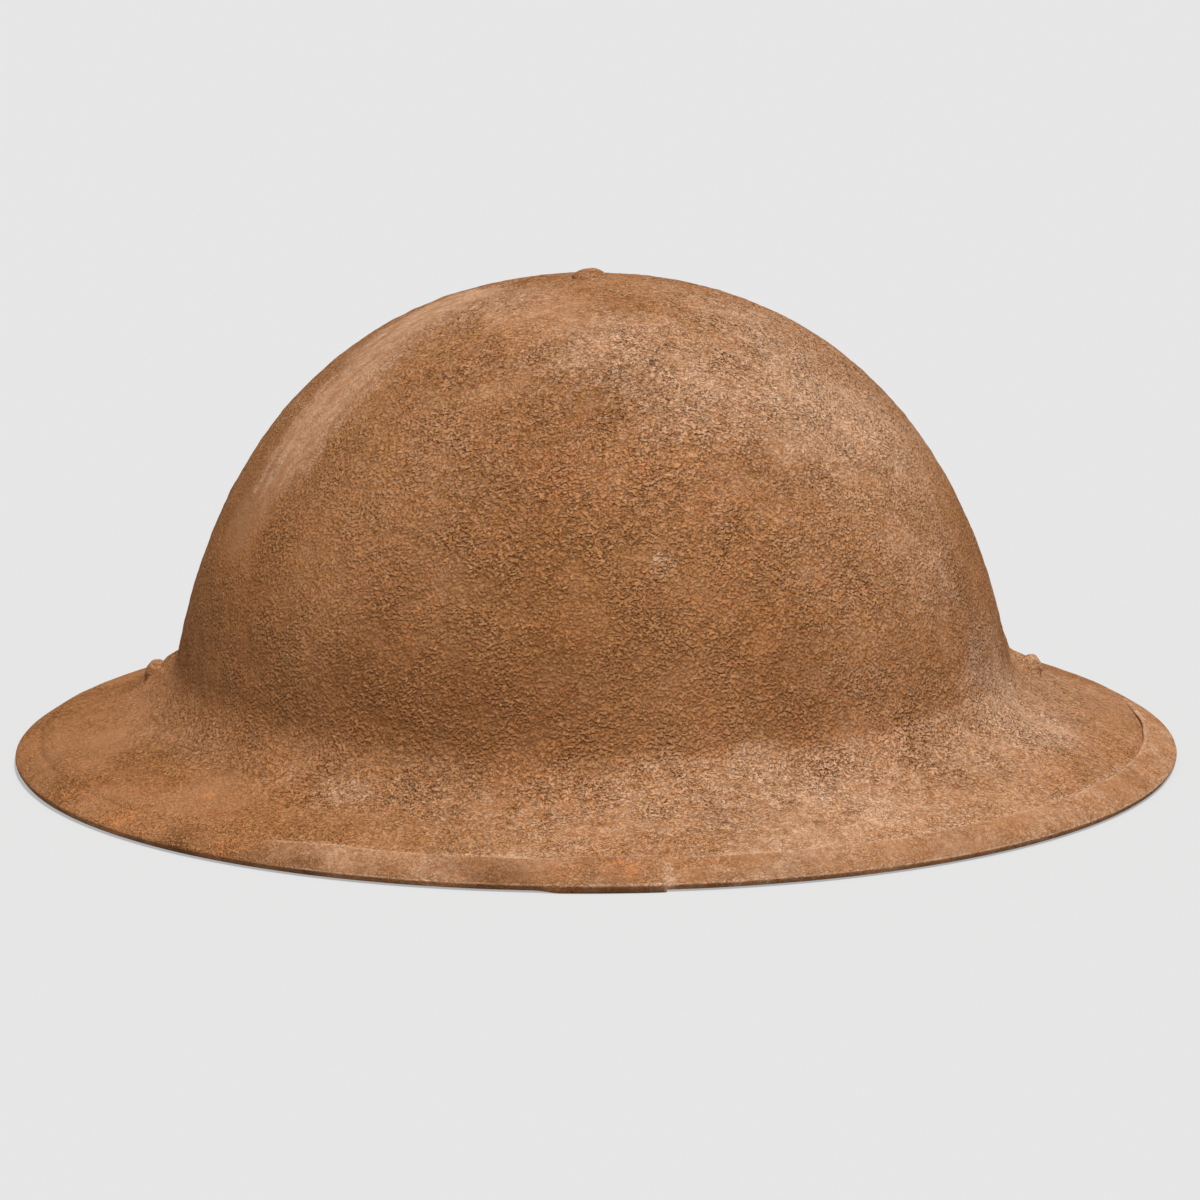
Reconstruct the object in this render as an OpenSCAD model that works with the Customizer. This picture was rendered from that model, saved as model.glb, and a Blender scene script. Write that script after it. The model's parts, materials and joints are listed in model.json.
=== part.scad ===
// Soup-bowl steel helmet with a folded rim, a riveted liner and a two-part chinstrap.
// Frame: +Z up, origin on the rest plane at the middle of the brim, -Y to the front.

/* [Shell] */
// Width of the brim over its rim, side to side
brim_w = 290; // [280:1:300]
// Length of the brim over its rim, front to back
brim_l = 308; // [296:1:320]
// Height of the steel's crown above the rest plane
shell_h = 119.5; // [112:0.5:127]
// Width of the bowl at its foot, where the brim begins
bowl_w = 206.8; // [200:0.2:212]
// Length of the bowl at its foot
bowl_l = 227.5; // [218:0.5:234]
// Height of the bowl's foot above the rest plane
foot_z = 26.9; // [24:0.1:30]
// Reach of the crown's level part
crown_reach = 59; // [50:0.5:66]
// Reach of the bowl's steep side above the foot
side_reach = 55.6; // [48:0.2:62]
// Lean of the bowl's side at its foot
side_lean = 11.6; // [8:0.2:15]
// Reach of that side below the foot, into the flare
flare_reach = 17; // [10:0.5:22]
// Slope of the brim at its edge
edge_slope = 34; // [28:0.5:38]
// Reach of that slope in from the edge
edge_reach = 19.3; // [12:0.1:26]
// Sideways set of the bowl on the brim, as pressed
bowl_x = -0.8; // [-2:0.1:2]
// Thickness of the pressed steel
shell_t = 0.9; // [0.7:0.05:1.3]

/* [Rim] */
// Thickness of the rim's strip
rim_t = 0.8; // [0.5:0.05:1]
// Width of the strip's legs above and below the brim
rim_leg = 8; // [5:0.5:11]
// Left end of the overlap where the strip's ends meet
lap_from = -7.6; // [-16:0.2:-4]
// Right end of the overlap, cut square
lap_to = 16.2; // [8:0.2:24]
// Length over which the upper layer rises onto the lower one
lap_rise = 7; // [3:0.5:12]

/* [Crown rivet] */
// Diameter of its round head
crown_head_d = 9; // [8:0.5:14]
// Height of its round head
crown_head_h = 2.9; // [2:0.1:4.5]
// Diameter of its shank
crown_shank_d = 5; // [4:0.2:6]
// Height of the clinched end
crown_tail_h = 1.6; // [1:0.1:2.4]
// Diameter of the washer
washer_d = 19; // [15:0.5:24]
// Thickness of the washer
washer_t = 1.2; // [0.8:0.1:2]

/* [Liner] */
// Height of the outer band's lower edge
band_low = 39; // [36:0.5:44]
// Width of the outer band
band_h = 33; // [28:0.5:37]
// Thickness of the outer band's leather
band_t = 2; // [1.4:0.1:2.8]
// Outer diameter of a rubber spacer
spacer_d = 12.6; // [10:0.2:15]
// Bore of a rubber spacer
spacer_bore = 6.4; // [4:0.2:8]
// Length of a rubber spacer
spacer_len = 29; // [24:0.5:31]
// Drop of the sweatband's lower edge below the outer band's
sweat_drop = 5; // [0:0.5:8]
// Width of the sweatband
sweat_h = 42; // [36:0.5:46]
// Thickness of the sweatband's oilcloth
sweat_t = 1.6; // [1:0.1:2.4]
// Width of the leather straps that cross under the crown
cross_w = 22; // [16:0.5:24]
// Thickness of those straps
cross_t = 1.8; // [1.2:0.1:2.4]
// Length that the straps overlap the outer band
cross_lap = 14; // [8:0.5:18]
// Reach of the felt pad from the crown
pad_r = 43; // [34:0.5:48]
// Thickness of the felt pad
pad_t = 7; // [4:0.5:9]
// Gap between the net and the edge of the crown pad
net_gap = 2.4; // [1:0.2:8]
// Thickness of the net
net_t = 1.4; // [1:0.1:2]
// Reach of the cross straps' bend, from the shell in to the outer band
cross_bend = 9; // [6:0.5:14]
// Radius of the opening at the top of the net
net_hole = 15; // [12:0.5:20]
// Diameter of the drawstring
drawstring_d = 2.4; // [1.6:0.1:3]

/* [Bails and lugs] */
// Distance of the lug rivets outside the bowl's foot
lug_set = 6.4; // [3:0.1:8]
// Set of the lugs behind the middle
lug_y = 20; // [-24:1:24]
// Width of a lug
lug_w = 14; // [10:0.5:16]
// Thickness of a lug's steel
lug_t = 0.9; // [0.7:0.05:1.2]
// Distance from the lug's rivet to the bail's bar
lug_reach = 9.5; // [8:0.1:11]
// Length of the lug beyond its rivet
lug_tail = 5; // [4:0.2:7]
// Diameter of a lug rivet's head
lug_head_d = 6.8; // [6:0.2:9]
// Height of a lug rivet's head
lug_head_h = 2.8; // [1.6:0.1:3]
// Diameter of a lug rivet's shank
lug_shank_d = 4; // [3:0.2:4.6]
// Diameter of the bails' wire
wire_d = 2.4; // [2:0.1:2.8]
// Width of a bail between the middles of its sides
bail_w = 26; // [25:0.5:30]
// Drop of a bail between the middles of its bars
bail_drop = 12; // [11:0.2:14]
// Radius of a bail's corners, at the middle of the wire
bail_r = 2.6; // [2:0.1:3]

/* [Chinstrap] */
// Width of the leather
strap_w = 19; // [16:0.5:20]
// Thickness of the leather
strap_t = 2.2; // [1.6:0.1:2.6]
// Length of the tongue half from its bail
tongue_len = 170; // [140:1:172]
// Length of the buckle half from its bail to the buckle's bar
buckle_half = 142; // [120:1:146]
// Angle of the tongue half to its bail, as it lies
tongue_skew = 11; // [9:0.5:12]
// Gap between the buckle and the tongue half beside it, as they lie
strap_gap = 1.6; // [1:0.2:4]
// Length of the doubled leather at a fold
fold_len = 24; // [22:0.5:28]
// Distance of a strap rivet from the bar in its fold
stud_x = 18.5; // [17:0.5:19.5]
// Distance of the first hole from the tongue's tip
first_hole = 26; // [16:1:36]
// Number of holes in the tongue
holes = 7; // [4:1:8]
// Spacing of the holes
hole_pitch = 12; // [8:0.5:13]
// Diameter of the holes
hole_d = 3.2; // [2.4:0.1:4]
// Length of the buckle's frame between the middles of its bars
buckle_l = 17; // [15:0.5:20]
// Width of the buckle's frame between the middles of its sides
buckle_w = 25.6; // [24.5:0.1:28]
// Width of the prong
prong_w = 3.2; // [2.4:0.1:4]
// Thickness of the prong
prong_t = 1.6; // [1.2:0.1:2]
// Width of the keeper
keeper_w = 10; // [7:0.5:13]
// Thickness of the keeper's leather
keeper_t = 1.5; // [1.2:0.1:2]
// Distance of the keeper from the end of the fold
keeper_back = 28; // [22:1:40]
// Diameter of the strap rivets' heads
stud_d = 7; // [5:0.2:9]
// Height of the strap rivets' heads
stud_h = 1.1; // [0.8:0.1:1.5]
// Diameter of the strap rivets' shanks
stud_shank_d = 3; // [2.4:0.1:4]

/* [Hidden] */
spacer_count = 12;
function spacer_name(i) = str("spacer_", i < 10 ? "0" : "", i);

// Clearances
rim_gap = 0.18;     // between the rim's legs and the brim
rim_edge_gap = 0.45; // between the fold and the brim's cut edge
hole_fit = 0.1;     // between a rivet's shank and its hole
liner_gap = 0.8;    // between the shell and the leather next to it
layer_gap = 0.15;   // between two flat layers of the liner
liner_fit = 0.3;    // between a round or curved liner piece and its neighbour
washer_gap = 1.5;   // between the crown washer and the pad round it
lug_seat = 0.4;     // between the flare and a lug
head_gap = 0.2;     // between the edge of a lug rivet's head and the flare
lug_slit = 0.1;     // between the two layers of a lug
bar_fit = 0.15;     // between a bail's bar and its lug
loop_fit = 0.3;     // between a bar and the leather round it
keeper_fit = 0.15;  // between the keeper and the leather it slides on
stud_seat = 0.1;    // between a strap rivet's heads and the leather
floor_gap = 0.2;    // between the chinstrap and the rest plane

// Fineness of the modelled surfaces
around = 72;
bowl_rings = 14;
brim_rings = 10;
liner_around = 60;
$fn = 48;

// Colours
rust = [0.55, 0.37, 0.24];
old_steel = [0.36, 0.28, 0.22];
leather = [0.42, 0.24, 0.12];
oilcloth = [0.09, 0.08, 0.08];
felt = [0.50, 0.46, 0.38];
cotton = [0.72, 0.66, 0.52];
rubber = [0.20, 0.17, 0.15];

// Curves and vectors

function unit(v) = v / norm(v);
function smooth(x) = let (c = min(max(x, 0), 1)) c * c * (3 - 2 * c);
function bez(p, s) = let (u = 1 - s)
    u * u * u * p[0] + 3 * u * u * s * p[1] + 3 * u * s * s * p[2] + s * s * s * p[3];
function arc(c, r, from, to, n) =
    [for (i = [0 : n]) let (a = from + (to - from) * i / n) c + r * [cos(a), sin(a)]];

// The rim's fold is a squared round, so its outer face stands nearly flat

fold_r = shell_t / 2 + rim_gap + rim_t;
fold_angles = [0, 25, 45, 65, 90, 112, 132, 157, 180];
fold_squareness = 0.67;
function power(x) = sign(x) * pow(abs(x), fold_squareness);
function fold_dir(a) = [
    power(cos(a)) * sin(edge_slope) + power(sin(a)) * cos(edge_slope),
    power(cos(a)) * cos(edge_slope) - power(sin(a)) * sin(edge_slope)
];
fold_out = fold_r * max([for (a = fold_angles) fold_dir(a).x]);
fold_drop = -fold_r * min([for (a = fold_angles) fold_dir(a).y]);
first_rest = 6; // the fold's points at 132 and 157 degrees lie on the rest plane
last_rest = 7;

// The shell's outer profile, in two curves that meet at the foot: s runs 0 to 1 to 2

foot = [bowl_w / 2, foot_z];
side_dir = [sin(side_lean), -cos(side_lean)];
edge_dir = [cos(edge_slope), -sin(edge_slope)];
edge_mid = [brim_w / 2 - fold_out, fold_drop];
edge = edge_mid + shell_t / 2 * [sin(edge_slope), cos(edge_slope)];
bowl_curve = [[0, shell_h], [crown_reach, shell_h], foot - side_reach * side_dir, foot];
brim_curve = [foot, foot + flare_reach * side_dir, edge - edge_reach * edge_dir, edge];
function profile(s) = s <= 1 ? bez(bowl_curve, s) : bez(brim_curve, s - 1);

// The profile is carried round an oval that is longer in the bowl than at the brim's edge

bowl_k = bowl_l / bowl_w;
brim_k = brim_l / brim_w;
function place(s, t) =
    let (p = profile(s), b = smooth((p.x - foot.x) / (edge.x - foot.x)), k = bowl_k + (brim_k - bowl_k) * b)
    [p.x * cos(t) + bowl_x * (1 - b), p.x * k * sin(t), p.y];
function along(s, t) = unit(place(s + 0.002, t) - place(s - 0.002, t));
function normal(s, t) = unit(cross(along(s, t), place(s, t + 0.5) - place(s, t - 0.5)));
function skin(s, t, depth) = place(s, t) - depth * normal(s, t);
function s_at_r(r, low, high, n = 22) = let (m = (low + high) / 2)
    n == 0 ? m : profile(m).x > r ? s_at_r(r, low, m, n - 1) : s_at_r(r, m, high, n - 1);
function s_at_z(z, low = 0, high = 1, n = 22) = let (m = (low + high) / 2)
    n == 0 ? m : profile(m).y < z ? s_at_z(z, low, m, n - 1) : s_at_z(z, m, high, n - 1);
function s_in_from_edge(d, low = 1, high = 2, n = 22) = let (m = (low + high) / 2)
    n == 0 ? m : norm(profile(m) - edge) < d ? s_in_from_edge(d, low, m, n - 1)
    : s_in_from_edge(d, m, high, n - 1);

// Meshes from grids of points

module closed_mesh(grid) {
    m = len(grid);
    n = len(grid[0]);
    polyhedron(
        [for (row = grid) each row],
        [for (i = [0 : m - 1], j = [0 : n - 1])
            let (i2 = (i + 1) % m, j2 = (j + 1) % n)
            let (a = i * n + j, b = i2 * n + j, c = i2 * n + j2, d = i * n + j2)
            each [[a, c, b], [a, d, c]]],
        convexity = 8
    );
}

// A sheet between an upper and a lower grid of the same size
module sheet(upper, lower) {
    m = len(upper);
    n = len(upper[0]);
    k = m * n;
    polyhedron(
        concat([for (row = upper) each row], [for (row = lower) each row]),
        concat(
            [for (i = [0 : m - 2], j = [0 : n - 2]) let (a = i * n + j)
                each [[a, a + n + 1, a + 1], [a, a + n, a + n + 1]]],
            [for (i = [0 : m - 2], j = [0 : n - 2]) let (a = k + i * n + j)
                each [[a, a + 1, a + n + 1], [a, a + n + 1, a + n]]],
            [for (i = [0 : m - 2]) let (a = i * n, b = (i + 1) * n - 1)
                each [[a, k + a + n, a + n], [a, k + a, k + a + n],
                    [b, b + n, k + b + n], [b, k + b + n, k + b]]],
            [for (j = [0 : n - 2]) let (a = j, b = (m - 1) * n + j)
                each [[a, a + 1, k + a + 1], [a, k + a + 1, k + a],
                    [b, k + b + 1, b + 1], [b, k + b, k + b + 1]]]
        ),
        convexity = 8
    );
}

module from_to(a, b) {
    v = b - a;
    translate(a) rotate([0, acos(v.z / norm(v)), atan2(v.y, v.x)]) children();
}

// A rivet's round head, resting on z = 0
module dome(d, h) {
    r = (d * d / 4 + h * h) / (2 * h);
    rotate_extrude() polygon(concat([[0, 0], [d / 2, 0]],
        [for (i = [1 : 12]) let (a = asin(d / 2 / r) * (1 - i / 12)) [r * sin(a), h - r * (1 - cos(a))]]));
}

// Shell

crown_s = 0.006; // the mesh starts at a pinhole inside the rivet's hole
shell_steps = concat(
    [for (i = [0 : bowl_rings]) crown_s + (1 - crown_s) * i / bowl_rings],
    [for (i = [1 : brim_rings]) 1 + i / brim_rings]
);
module shell() {
    turns = [for (j = [0 : around - 1]) j * 360 / around];
    color(rust) difference() {
        closed_mesh(concat(
            [for (s = shell_steps) [for (t = turns) skin(s, t, 0)]],
            [for (i = [len(shell_steps) - 1 : -1 : 0]) [for (t = turns) skin(shell_steps[i], t, shell_t)]]
        ));
        translate([bowl_x, 0, shell_h - 10]) cylinder(d = crown_shank_d + 2 * hole_fit, h = 20);
        for (side = [-1, 1]) at_lug(side) cylinder(d = lug_shank_d + 2 * hole_fit, h = 10, center = true);
    }
}

// Rim: a strip folded over the brim's edge, its left end lapping over its right end at the front

lap_a = 270 + asin(lap_from / (brim_w / 2));
lap_b = 270 + asin(lap_to / (brim_w / 2));
lap_ramp = lap_rise / (brim_w / 2) * 180 / PI;
cut_step = 0.03; // degrees over which the square cut end steps down
rim_start = lap_b - 360 + cut_step;
rim_turns = concat(
    [for (i = [0 : around]) rim_start + (lap_a - lap_ramp - rim_start) * i / around],
    [lap_a - lap_ramp / 2, lap_a, (lap_a + lap_b) / 2, lap_b]
);
function lap(t) = rim_t * smooth((t - lap_a + lap_ramp) / lap_ramp);
leg_s = s_in_from_edge(rim_leg);
leg_steps = [leg_s, (leg_s + 2) / 2];
function fold_point(i, t) =
    let (a = fold_angles[i], r = fold_r + lap(t), n = normal(2, t), u = along(2, t))
    let (p = skin(2, t, shell_t / 2) + r * power(cos(a)) * n + r * power(sin(a)) * u)
    [p.x, p.y, i >= first_rest && i <= last_rest ? 0 : max(p.z, 0)];
function rim_section(t) = let (over = rim_gap + rim_t + lap(t), under = shell_t + rim_gap) concat(
    [for (s = leg_steps) skin(s, t, -over)],
    [for (i = [0 : len(fold_angles) - 1]) fold_point(i, t)],
    [for (i = [1, 0]) skin(leg_steps[i], t, shell_t + over)],
    [for (s = leg_steps) skin(s, t, under)],
    [skin(2, t, under) + rim_edge_gap * along(2, t), skin(2, t, -rim_gap) + rim_edge_gap * along(2, t)],
    [for (i = [1, 0]) skin(leg_steps[i], t, -rim_gap)]
);
module rim() {
    sections = [for (t = rim_turns) rim_section(t)];
    color(rust) closed_mesh([for (i = [0 : len(sections[0]) - 1]) [for (q = sections) q[i]]]);
}

// Crown rivet and what it holds

cross_depth_1 = shell_t + liner_gap;
cross_depth_2 = cross_depth_1 + cross_t + layer_gap;
washer_top = profile(s_at_r(0.6 * washer_d, 0, 1)).y - cross_depth_2 - cross_t - layer_gap;
module crown_rivet() {
    low = washer_top - washer_t;
    color(rust) translate([bowl_x, 0, 0]) {
        translate([0, 0, shell_h]) dome(crown_head_d, crown_head_h);
        translate([0, 0, low]) cylinder(d = crown_shank_d, h = shell_h - low + 0.1);
        translate([0, 0, low]) mirror([0, 0, 1]) dome(crown_shank_d * 1.7, crown_tail_h);
    }
}
module crown_washer() {
    color(old_steel) translate([bowl_x, 0, washer_top - washer_t]) difference() {
        cylinder(d = washer_d, h = washer_t);
        translate([0, 0, -1]) cylinder(d = crown_shank_d + 2 * hole_fit, h = washer_t + 2);
    }
}

// Walls of the liner: ovals that lean in as they rise, set in from the outer band's outer face

band_high = band_low + band_h;
function band_axes(z) = let (s = s_at_z(z), d = shell_t + liner_gap)
    [skin(s, 0, d).x - bowl_x, skin(s, 90, d).y];
low_axes = band_axes(band_low);
high_axes = band_axes(band_high);
wall_lean = atan((low_axes.x - high_axes.x) / band_h);
function wall_axes(z) = low_axes + (high_axes - low_axes) * (z - band_low) / band_h;
function wall(z, inset, t) = let (a = wall_axes(z) - inset / cos(wall_lean) * [1, 1])
    [bowl_x + a.x * cos(t), a.y * sin(t), z];
function ring_turns(f) = [for (j = [0 : liner_around - 1]) f * j * 360 / liner_around];
module wall_band(low, high, inset, t) {
    turns = ring_turns(1);
    closed_mesh([
        [for (a = turns) wall(high, inset, a)],
        [for (a = turns) wall(low, inset, a)],
        [for (a = turns) wall(low, inset + t, a)],
        [for (a = turns) wall(high, inset + t, a)]
    ]);
}

module outer_band() {
    color(leather) wall_band(band_low, band_high, 0, band_t);
}

spacer_inset = band_t + liner_fit + spacer_d / 2;
spacer_mid = band_low + band_h / 2;
module spacer(i) {
    t = (i - 1) * 360 / spacer_count;
    half = spacer_len / 2 * cos(wall_lean);
    color(rubber) from_to(wall(spacer_mid - half, spacer_inset, t), wall(spacer_mid + half, spacer_inset, t))
        difference() {
            cylinder(d = spacer_d, h = spacer_len);
            translate([0, 0, -1]) cylinder(d = spacer_bore, h = spacer_len + 2);
        }
}

sweat_inset = band_t + spacer_d + 2 * liner_fit;
sweat_low = band_low - sweat_drop;
sweat_high = sweat_low + sweat_h;
module sweatband() {
    color(oilcloth) wall_band(sweat_low, sweat_high, sweat_inset, sweat_t);
}

// Cross straps: from the crown down the inside of the shell, then inside the outer band

cross_steps = 9;
cross_top_s = s_at_z(band_high + cross_bend);
function cross_extra(r) = (cross_depth_2 - cross_depth_1) * (1 - smooth((r - cross_w) / cross_w));
function cross_plan(r, w, turn) =
    let (d = [cos(turn), sin(turn)], across = unit([-bowl_k * sin(turn), cos(turn)]))
    let (q = w * [across.x, across.y / bowl_k], g = min(1, pow(r / 40, 2)), m = q * d)
    (sqrt(r * r - g * (q * q - m * m)) - g * m) * d + q;
function cross_point(r, w, turn, depth) =
    let (p = cross_plan(r, w, turn), far = norm(p), s = s_at_r(far, 0, 1), t = atan2(p.y, p.x))
    far < 0.01 ? skin(crown_s, t, depth) : skin(s, t, depth);
function cross_foot(z, w, turn, inset) =
    let (a = wall_axes(z), p = cross_plan(a.x, w, turn)) wall(z, inset, atan2(p.y, p.x));
function cross_face(turn, level, under) =
    let (r_at = [for (i = [cross_steps : -1 : 1]) profile(cross_top_s * i / cross_steps).x])
    let (feet = [band_high - cross_lap, band_high, band_high + 2])
    let (inset = band_t + layer_gap + under * cross_t)
    let (deep = function(r) cross_depth_1 + level * cross_extra(r) + under * cross_t)
    let (row = function(r, w, a) cross_point(r, w, a, deep(r)))
    let (half = cross_w / 2, across = [-half, 0, half])
    concat(
        [for (z = feet) [for (w = across) cross_foot(z, w, turn, inset)]],
        [for (r = r_at) [for (w = across) row(r, w, turn)]],
        [[for (w = across) row(0.02, w, turn)]],
        [for (i = [cross_steps - 1 : -1 : 0]) [for (w = across) row(r_at[i], -w, turn + 180)]],
        [for (i = [2 : -1 : 0]) [for (w = across) cross_foot(feet[i], -w, turn + 180, inset)]]
    );
module cross_strap(turn, level) {
    color(leather) difference() {
        sheet(cross_face(turn, level, 0), cross_face(turn, level, 1));
        translate([bowl_x, 0, shell_h - 20]) cylinder(d = crown_shank_d + 2 * hole_fit, h = 30);
    }
}
module cross_strap_1() {
    cross_strap(45, 0);
}
module cross_strap_2() {
    cross_strap(135, 1);
}

// Crown pad, a felt ring round the clinched rivet

pad_depth = cross_depth_2 + cross_t + liner_fit;
pad_hole_s = s_at_r(washer_d / 2 + washer_gap, 0, 1);
pad_steps = [for (i = [0 : 3]) pad_hole_s + (s_at_r(pad_r, 0, 1) - pad_hole_s) * i / 3];
function pad_under(s, t) = skin(s, t, pad_depth + pad_t);
module crown_pad() {
    turns = ring_turns(1);
    color(felt) closed_mesh(concat(
        [for (s = pad_steps) [for (t = turns) skin(s, t, pad_depth)]],
        [for (i = [3 : -1 : 0]) [for (t = turns) pad_under(pad_steps[i], t)]]
    ));
}

// Net: a dome of cotton mesh laced to the top of the sweatband and drawn in by a string

net_z = sweat_high + layer_gap;
net_base = wall_axes(sweat_high) - (sweat_inset / cos(wall_lean)) * [1, 1];
// The rise at which the net passes below one point of the pad's underside
function rise_under(p, reach) = let (out = max(0, norm([p.x - bowl_x, p.y]) - net_hole) / (reach - net_hole))
    (p.z - net_gap - net_z) / sin(acos(out));
net_rise = min([for (s = pad_steps)
    each [rise_under(pad_under(s, 0), net_base.x), rise_under(pad_under(s, 90), net_base.y)]]);
net_steps = 7;
function net_point(q, inset, t) =
    let (a = net_base - inset * [1, 1], c = cos(q))
    [bowl_x + (net_hole + (a.x - net_hole) * c) * cos(t), (net_hole + (a.y - net_hole) * c) * sin(t),
        net_z + (net_rise - inset) * sin(q)];
module net() {
    turns = ring_turns(1);
    color(cotton) closed_mesh(concat(
        [for (i = [net_steps : -1 : 0]) [for (t = turns) net_point(90 * i / net_steps, 0, t)]],
        [for (i = [0 : net_steps]) [for (t = turns) net_point(90 * i / net_steps, net_t, t)]]
    ));
}
// Drawstring: a ring laced through the top of the net, tied at the front with two short tails
module net_drawstring() {
    ring_r = net_hole - liner_fit - drawstring_d / 2;
    opening = 20; // degrees of the ring that the knot fills
    knot_d = 1.9 * drawstring_d;
    knot_l = 2.5 * drawstring_d;
    knot_r = net_hole - liner_fit - knot_d / 2;
    tail_d = 0.8 * drawstring_d;
    tail_l = 5 * drawstring_d;
    color(cotton) translate([bowl_x, 0, net_z + net_rise - net_t / 2]) {
        rotate([0, 0, opening / 2 - 90]) rotate_extrude(angle = 360 - opening)
            translate([ring_r, 0]) circle(d = drawstring_d);
        translate([0, -knot_r, 0]) rotate([0, 90, 0]) cylinder(d = knot_d, h = knot_l, center = true);
        for (side = [-1, 1]) translate([side * knot_l / 4, -knot_r, 0]) rotate([-105, 0, 20 * side])
            cylinder(d = tail_d, h = tail_l);
    }
}

// Lugs and bails: side is 1 on the right and -1 on the left

lug_x = bowl_w / 2 + lug_set;
lug_turn = atan2(lug_y / bowl_k, lug_x);
lug_s = s_at_r(norm([lug_x, lug_y / bowl_k]), 1, 2);
lug_normal = normal(lug_s, lug_turn);
lug_azimuth = atan2(lug_normal.y, lug_normal.x);
lug_tilt = acos(lug_normal.z);
function lug_at(side) = place(lug_s, side > 0 ? lug_turn : 180 - lug_turn);
module at_lug(side) {
    translate(lug_at(side)) mirror([side < 0 ? 1 : 0, 0, 0])
        rotate([0, lug_tilt, lug_azimuth]) children();
}
lug_top = -shell_t - lug_seat;
// The flare is hollow under a lug rivet's head, so the head rests on it by its edge
flare_step = norm(place(lug_s + 0.01, lug_turn) - place(lug_s - 0.01, lug_turn)) / 0.02;
head_seat = head_gap + max([for (way = [-1, 1])
    (place(lug_s + way * lug_head_d / 2 / flare_step, lug_turn) - lug_at(1)) * lug_normal]);
bar_hole_r = wire_d / 2 + bar_fit;
barrel_r = bar_hole_r + lug_t;
lug_layers = 2 * lug_t + lug_slit;
module lug(side) {
    color(old_steel) at_lug(side) difference() {
        rotate([90, 0, 0]) linear_extrude(lug_w, center = true) difference() {
            union() {
                translate([-lug_reach, lug_top - barrel_r]) circle(r = barrel_r);
                translate([-lug_reach, lug_top - lug_t]) square([lug_reach + lug_tail, lug_t]);
                translate([-lug_reach + bar_hole_r + 0.3 * lug_t, lug_top - lug_layers])
                    square([lug_reach + lug_tail - bar_hole_r - 0.3 * lug_t, lug_t]);
            }
            translate([-lug_reach, lug_top - barrel_r]) circle(r = bar_hole_r);
        }
        cylinder(d = lug_shank_d + 2 * hole_fit, h = 20, center = true);
    }
}
module lug_rivet(side) {
    tail_z = lug_top - lug_layers;
    color(rust) at_lug(side) {
        translate([0, 0, head_seat]) dome(lug_head_d, lug_head_h);
        translate([0, 0, tail_z]) cylinder(d = lug_shank_d, h = head_seat - tail_z + 0.1);
        translate([0, 0, tail_z]) mirror([0, 0, 1]) dome(lug_shank_d * 1.5, lug_shank_d * 0.3);
    }
}

// The bail's bars: the upper one in the lug, the lower one in the strap's loop
function turned(v) =
    let (x = v.x * cos(lug_tilt) + v.z * sin(lug_tilt), z = -v.x * sin(lug_tilt) + v.z * cos(lug_tilt))
    [x * cos(lug_azimuth) - v.y * sin(lug_azimuth), x * sin(lug_azimuth) + v.y * cos(lug_azimuth), z];
bar_offset = turned([-lug_reach, 0, lug_top - barrel_r]);
function bar_at(side) = lug_at(side) + [side * bar_offset.x, bar_offset.y, bar_offset.z];
module at_bar(side) {
    translate(bar_at(side)) mirror([side < 0 ? 1 : 0, 0, 0]) rotate([0, 0, lug_azimuth]) children();
}

// A closed loop of wire in the y-z plane, hanging from z = 0
module wire_loop(w, drop, r, d) {
    for (z = [0, -drop]) translate([0, -(w / 2 - r), z]) rotate([-90, 0, 0]) cylinder(d = d, h = w - 2 * r);
    for (y = [-w / 2, w / 2]) translate([0, y, -(drop - r)]) cylinder(d = d, h = drop - 2 * r);
    for (i = [0 : 3]) {
        y = (i % 2 == 0 ? 1 : -1) * (w / 2 - r);
        z = i < 2 ? -r : r - drop;
        turn = [0, 90, 270, 180][i];
        translate([0, y, z]) rotate([turn, 0, 0]) rotate([0, 90, 0]) rotate([0, 0, 90])
            rotate_extrude(angle = 90) translate([r, 0]) circle(d = d);
    }
}
module bail(side) {
    color(old_steel) at_bar(side) wire_loop(bail_w, bail_drop, bail_r, wire_d);
}

// Chinstrap halves: each hangs on the lower bar and lies on the rest plane, x running inward

toward = lug_y < 0 ? -1 : 1; // they lie on the side of the lugs that the bowl's middle is on
module at_strap(side, skew) {
    at_bar(side) translate([0, 0, -bail_drop]) rotate([0, 0, 180 + toward * skew]) children();
}
low_bar_z = bar_at(1).z - bail_drop;

// The buckle half lies at the angle that clears the tongue half by strap_gap
tongue_turn = tongue_skew + toward * lug_azimuth;
buckle_corner = [buckle_half + buckle_l + wire_d / 2, (buckle_w + wire_d) / 2];
bars_apart = norm(bar_at(1) - bar_at(-1));
buckle_turn = tongue_turn + atan2(buckle_corner.y, buckle_corner.x)
    + asin((strap_w / 2 + strap_gap - bars_apart * sin(tongue_turn)) / norm(buckle_corner));
buckle_skew = buckle_turn + toward * lug_azimuth;

buckle_lift = keeper_t + keeper_fit + floor_gap;
settle_len = 45; // length over which a half comes down to lie level
function strap_z(x, lift) =
    let (fall = -low_bar_z + strap_t + lift, u = min(x / settle_len, 1)) fall * (1 - pow(1 - u, 2));
function strap_slope(x, lift) = atan((strap_z(x + 0.1, lift) - strap_z(x - 0.1, lift)) / 0.2);

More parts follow.
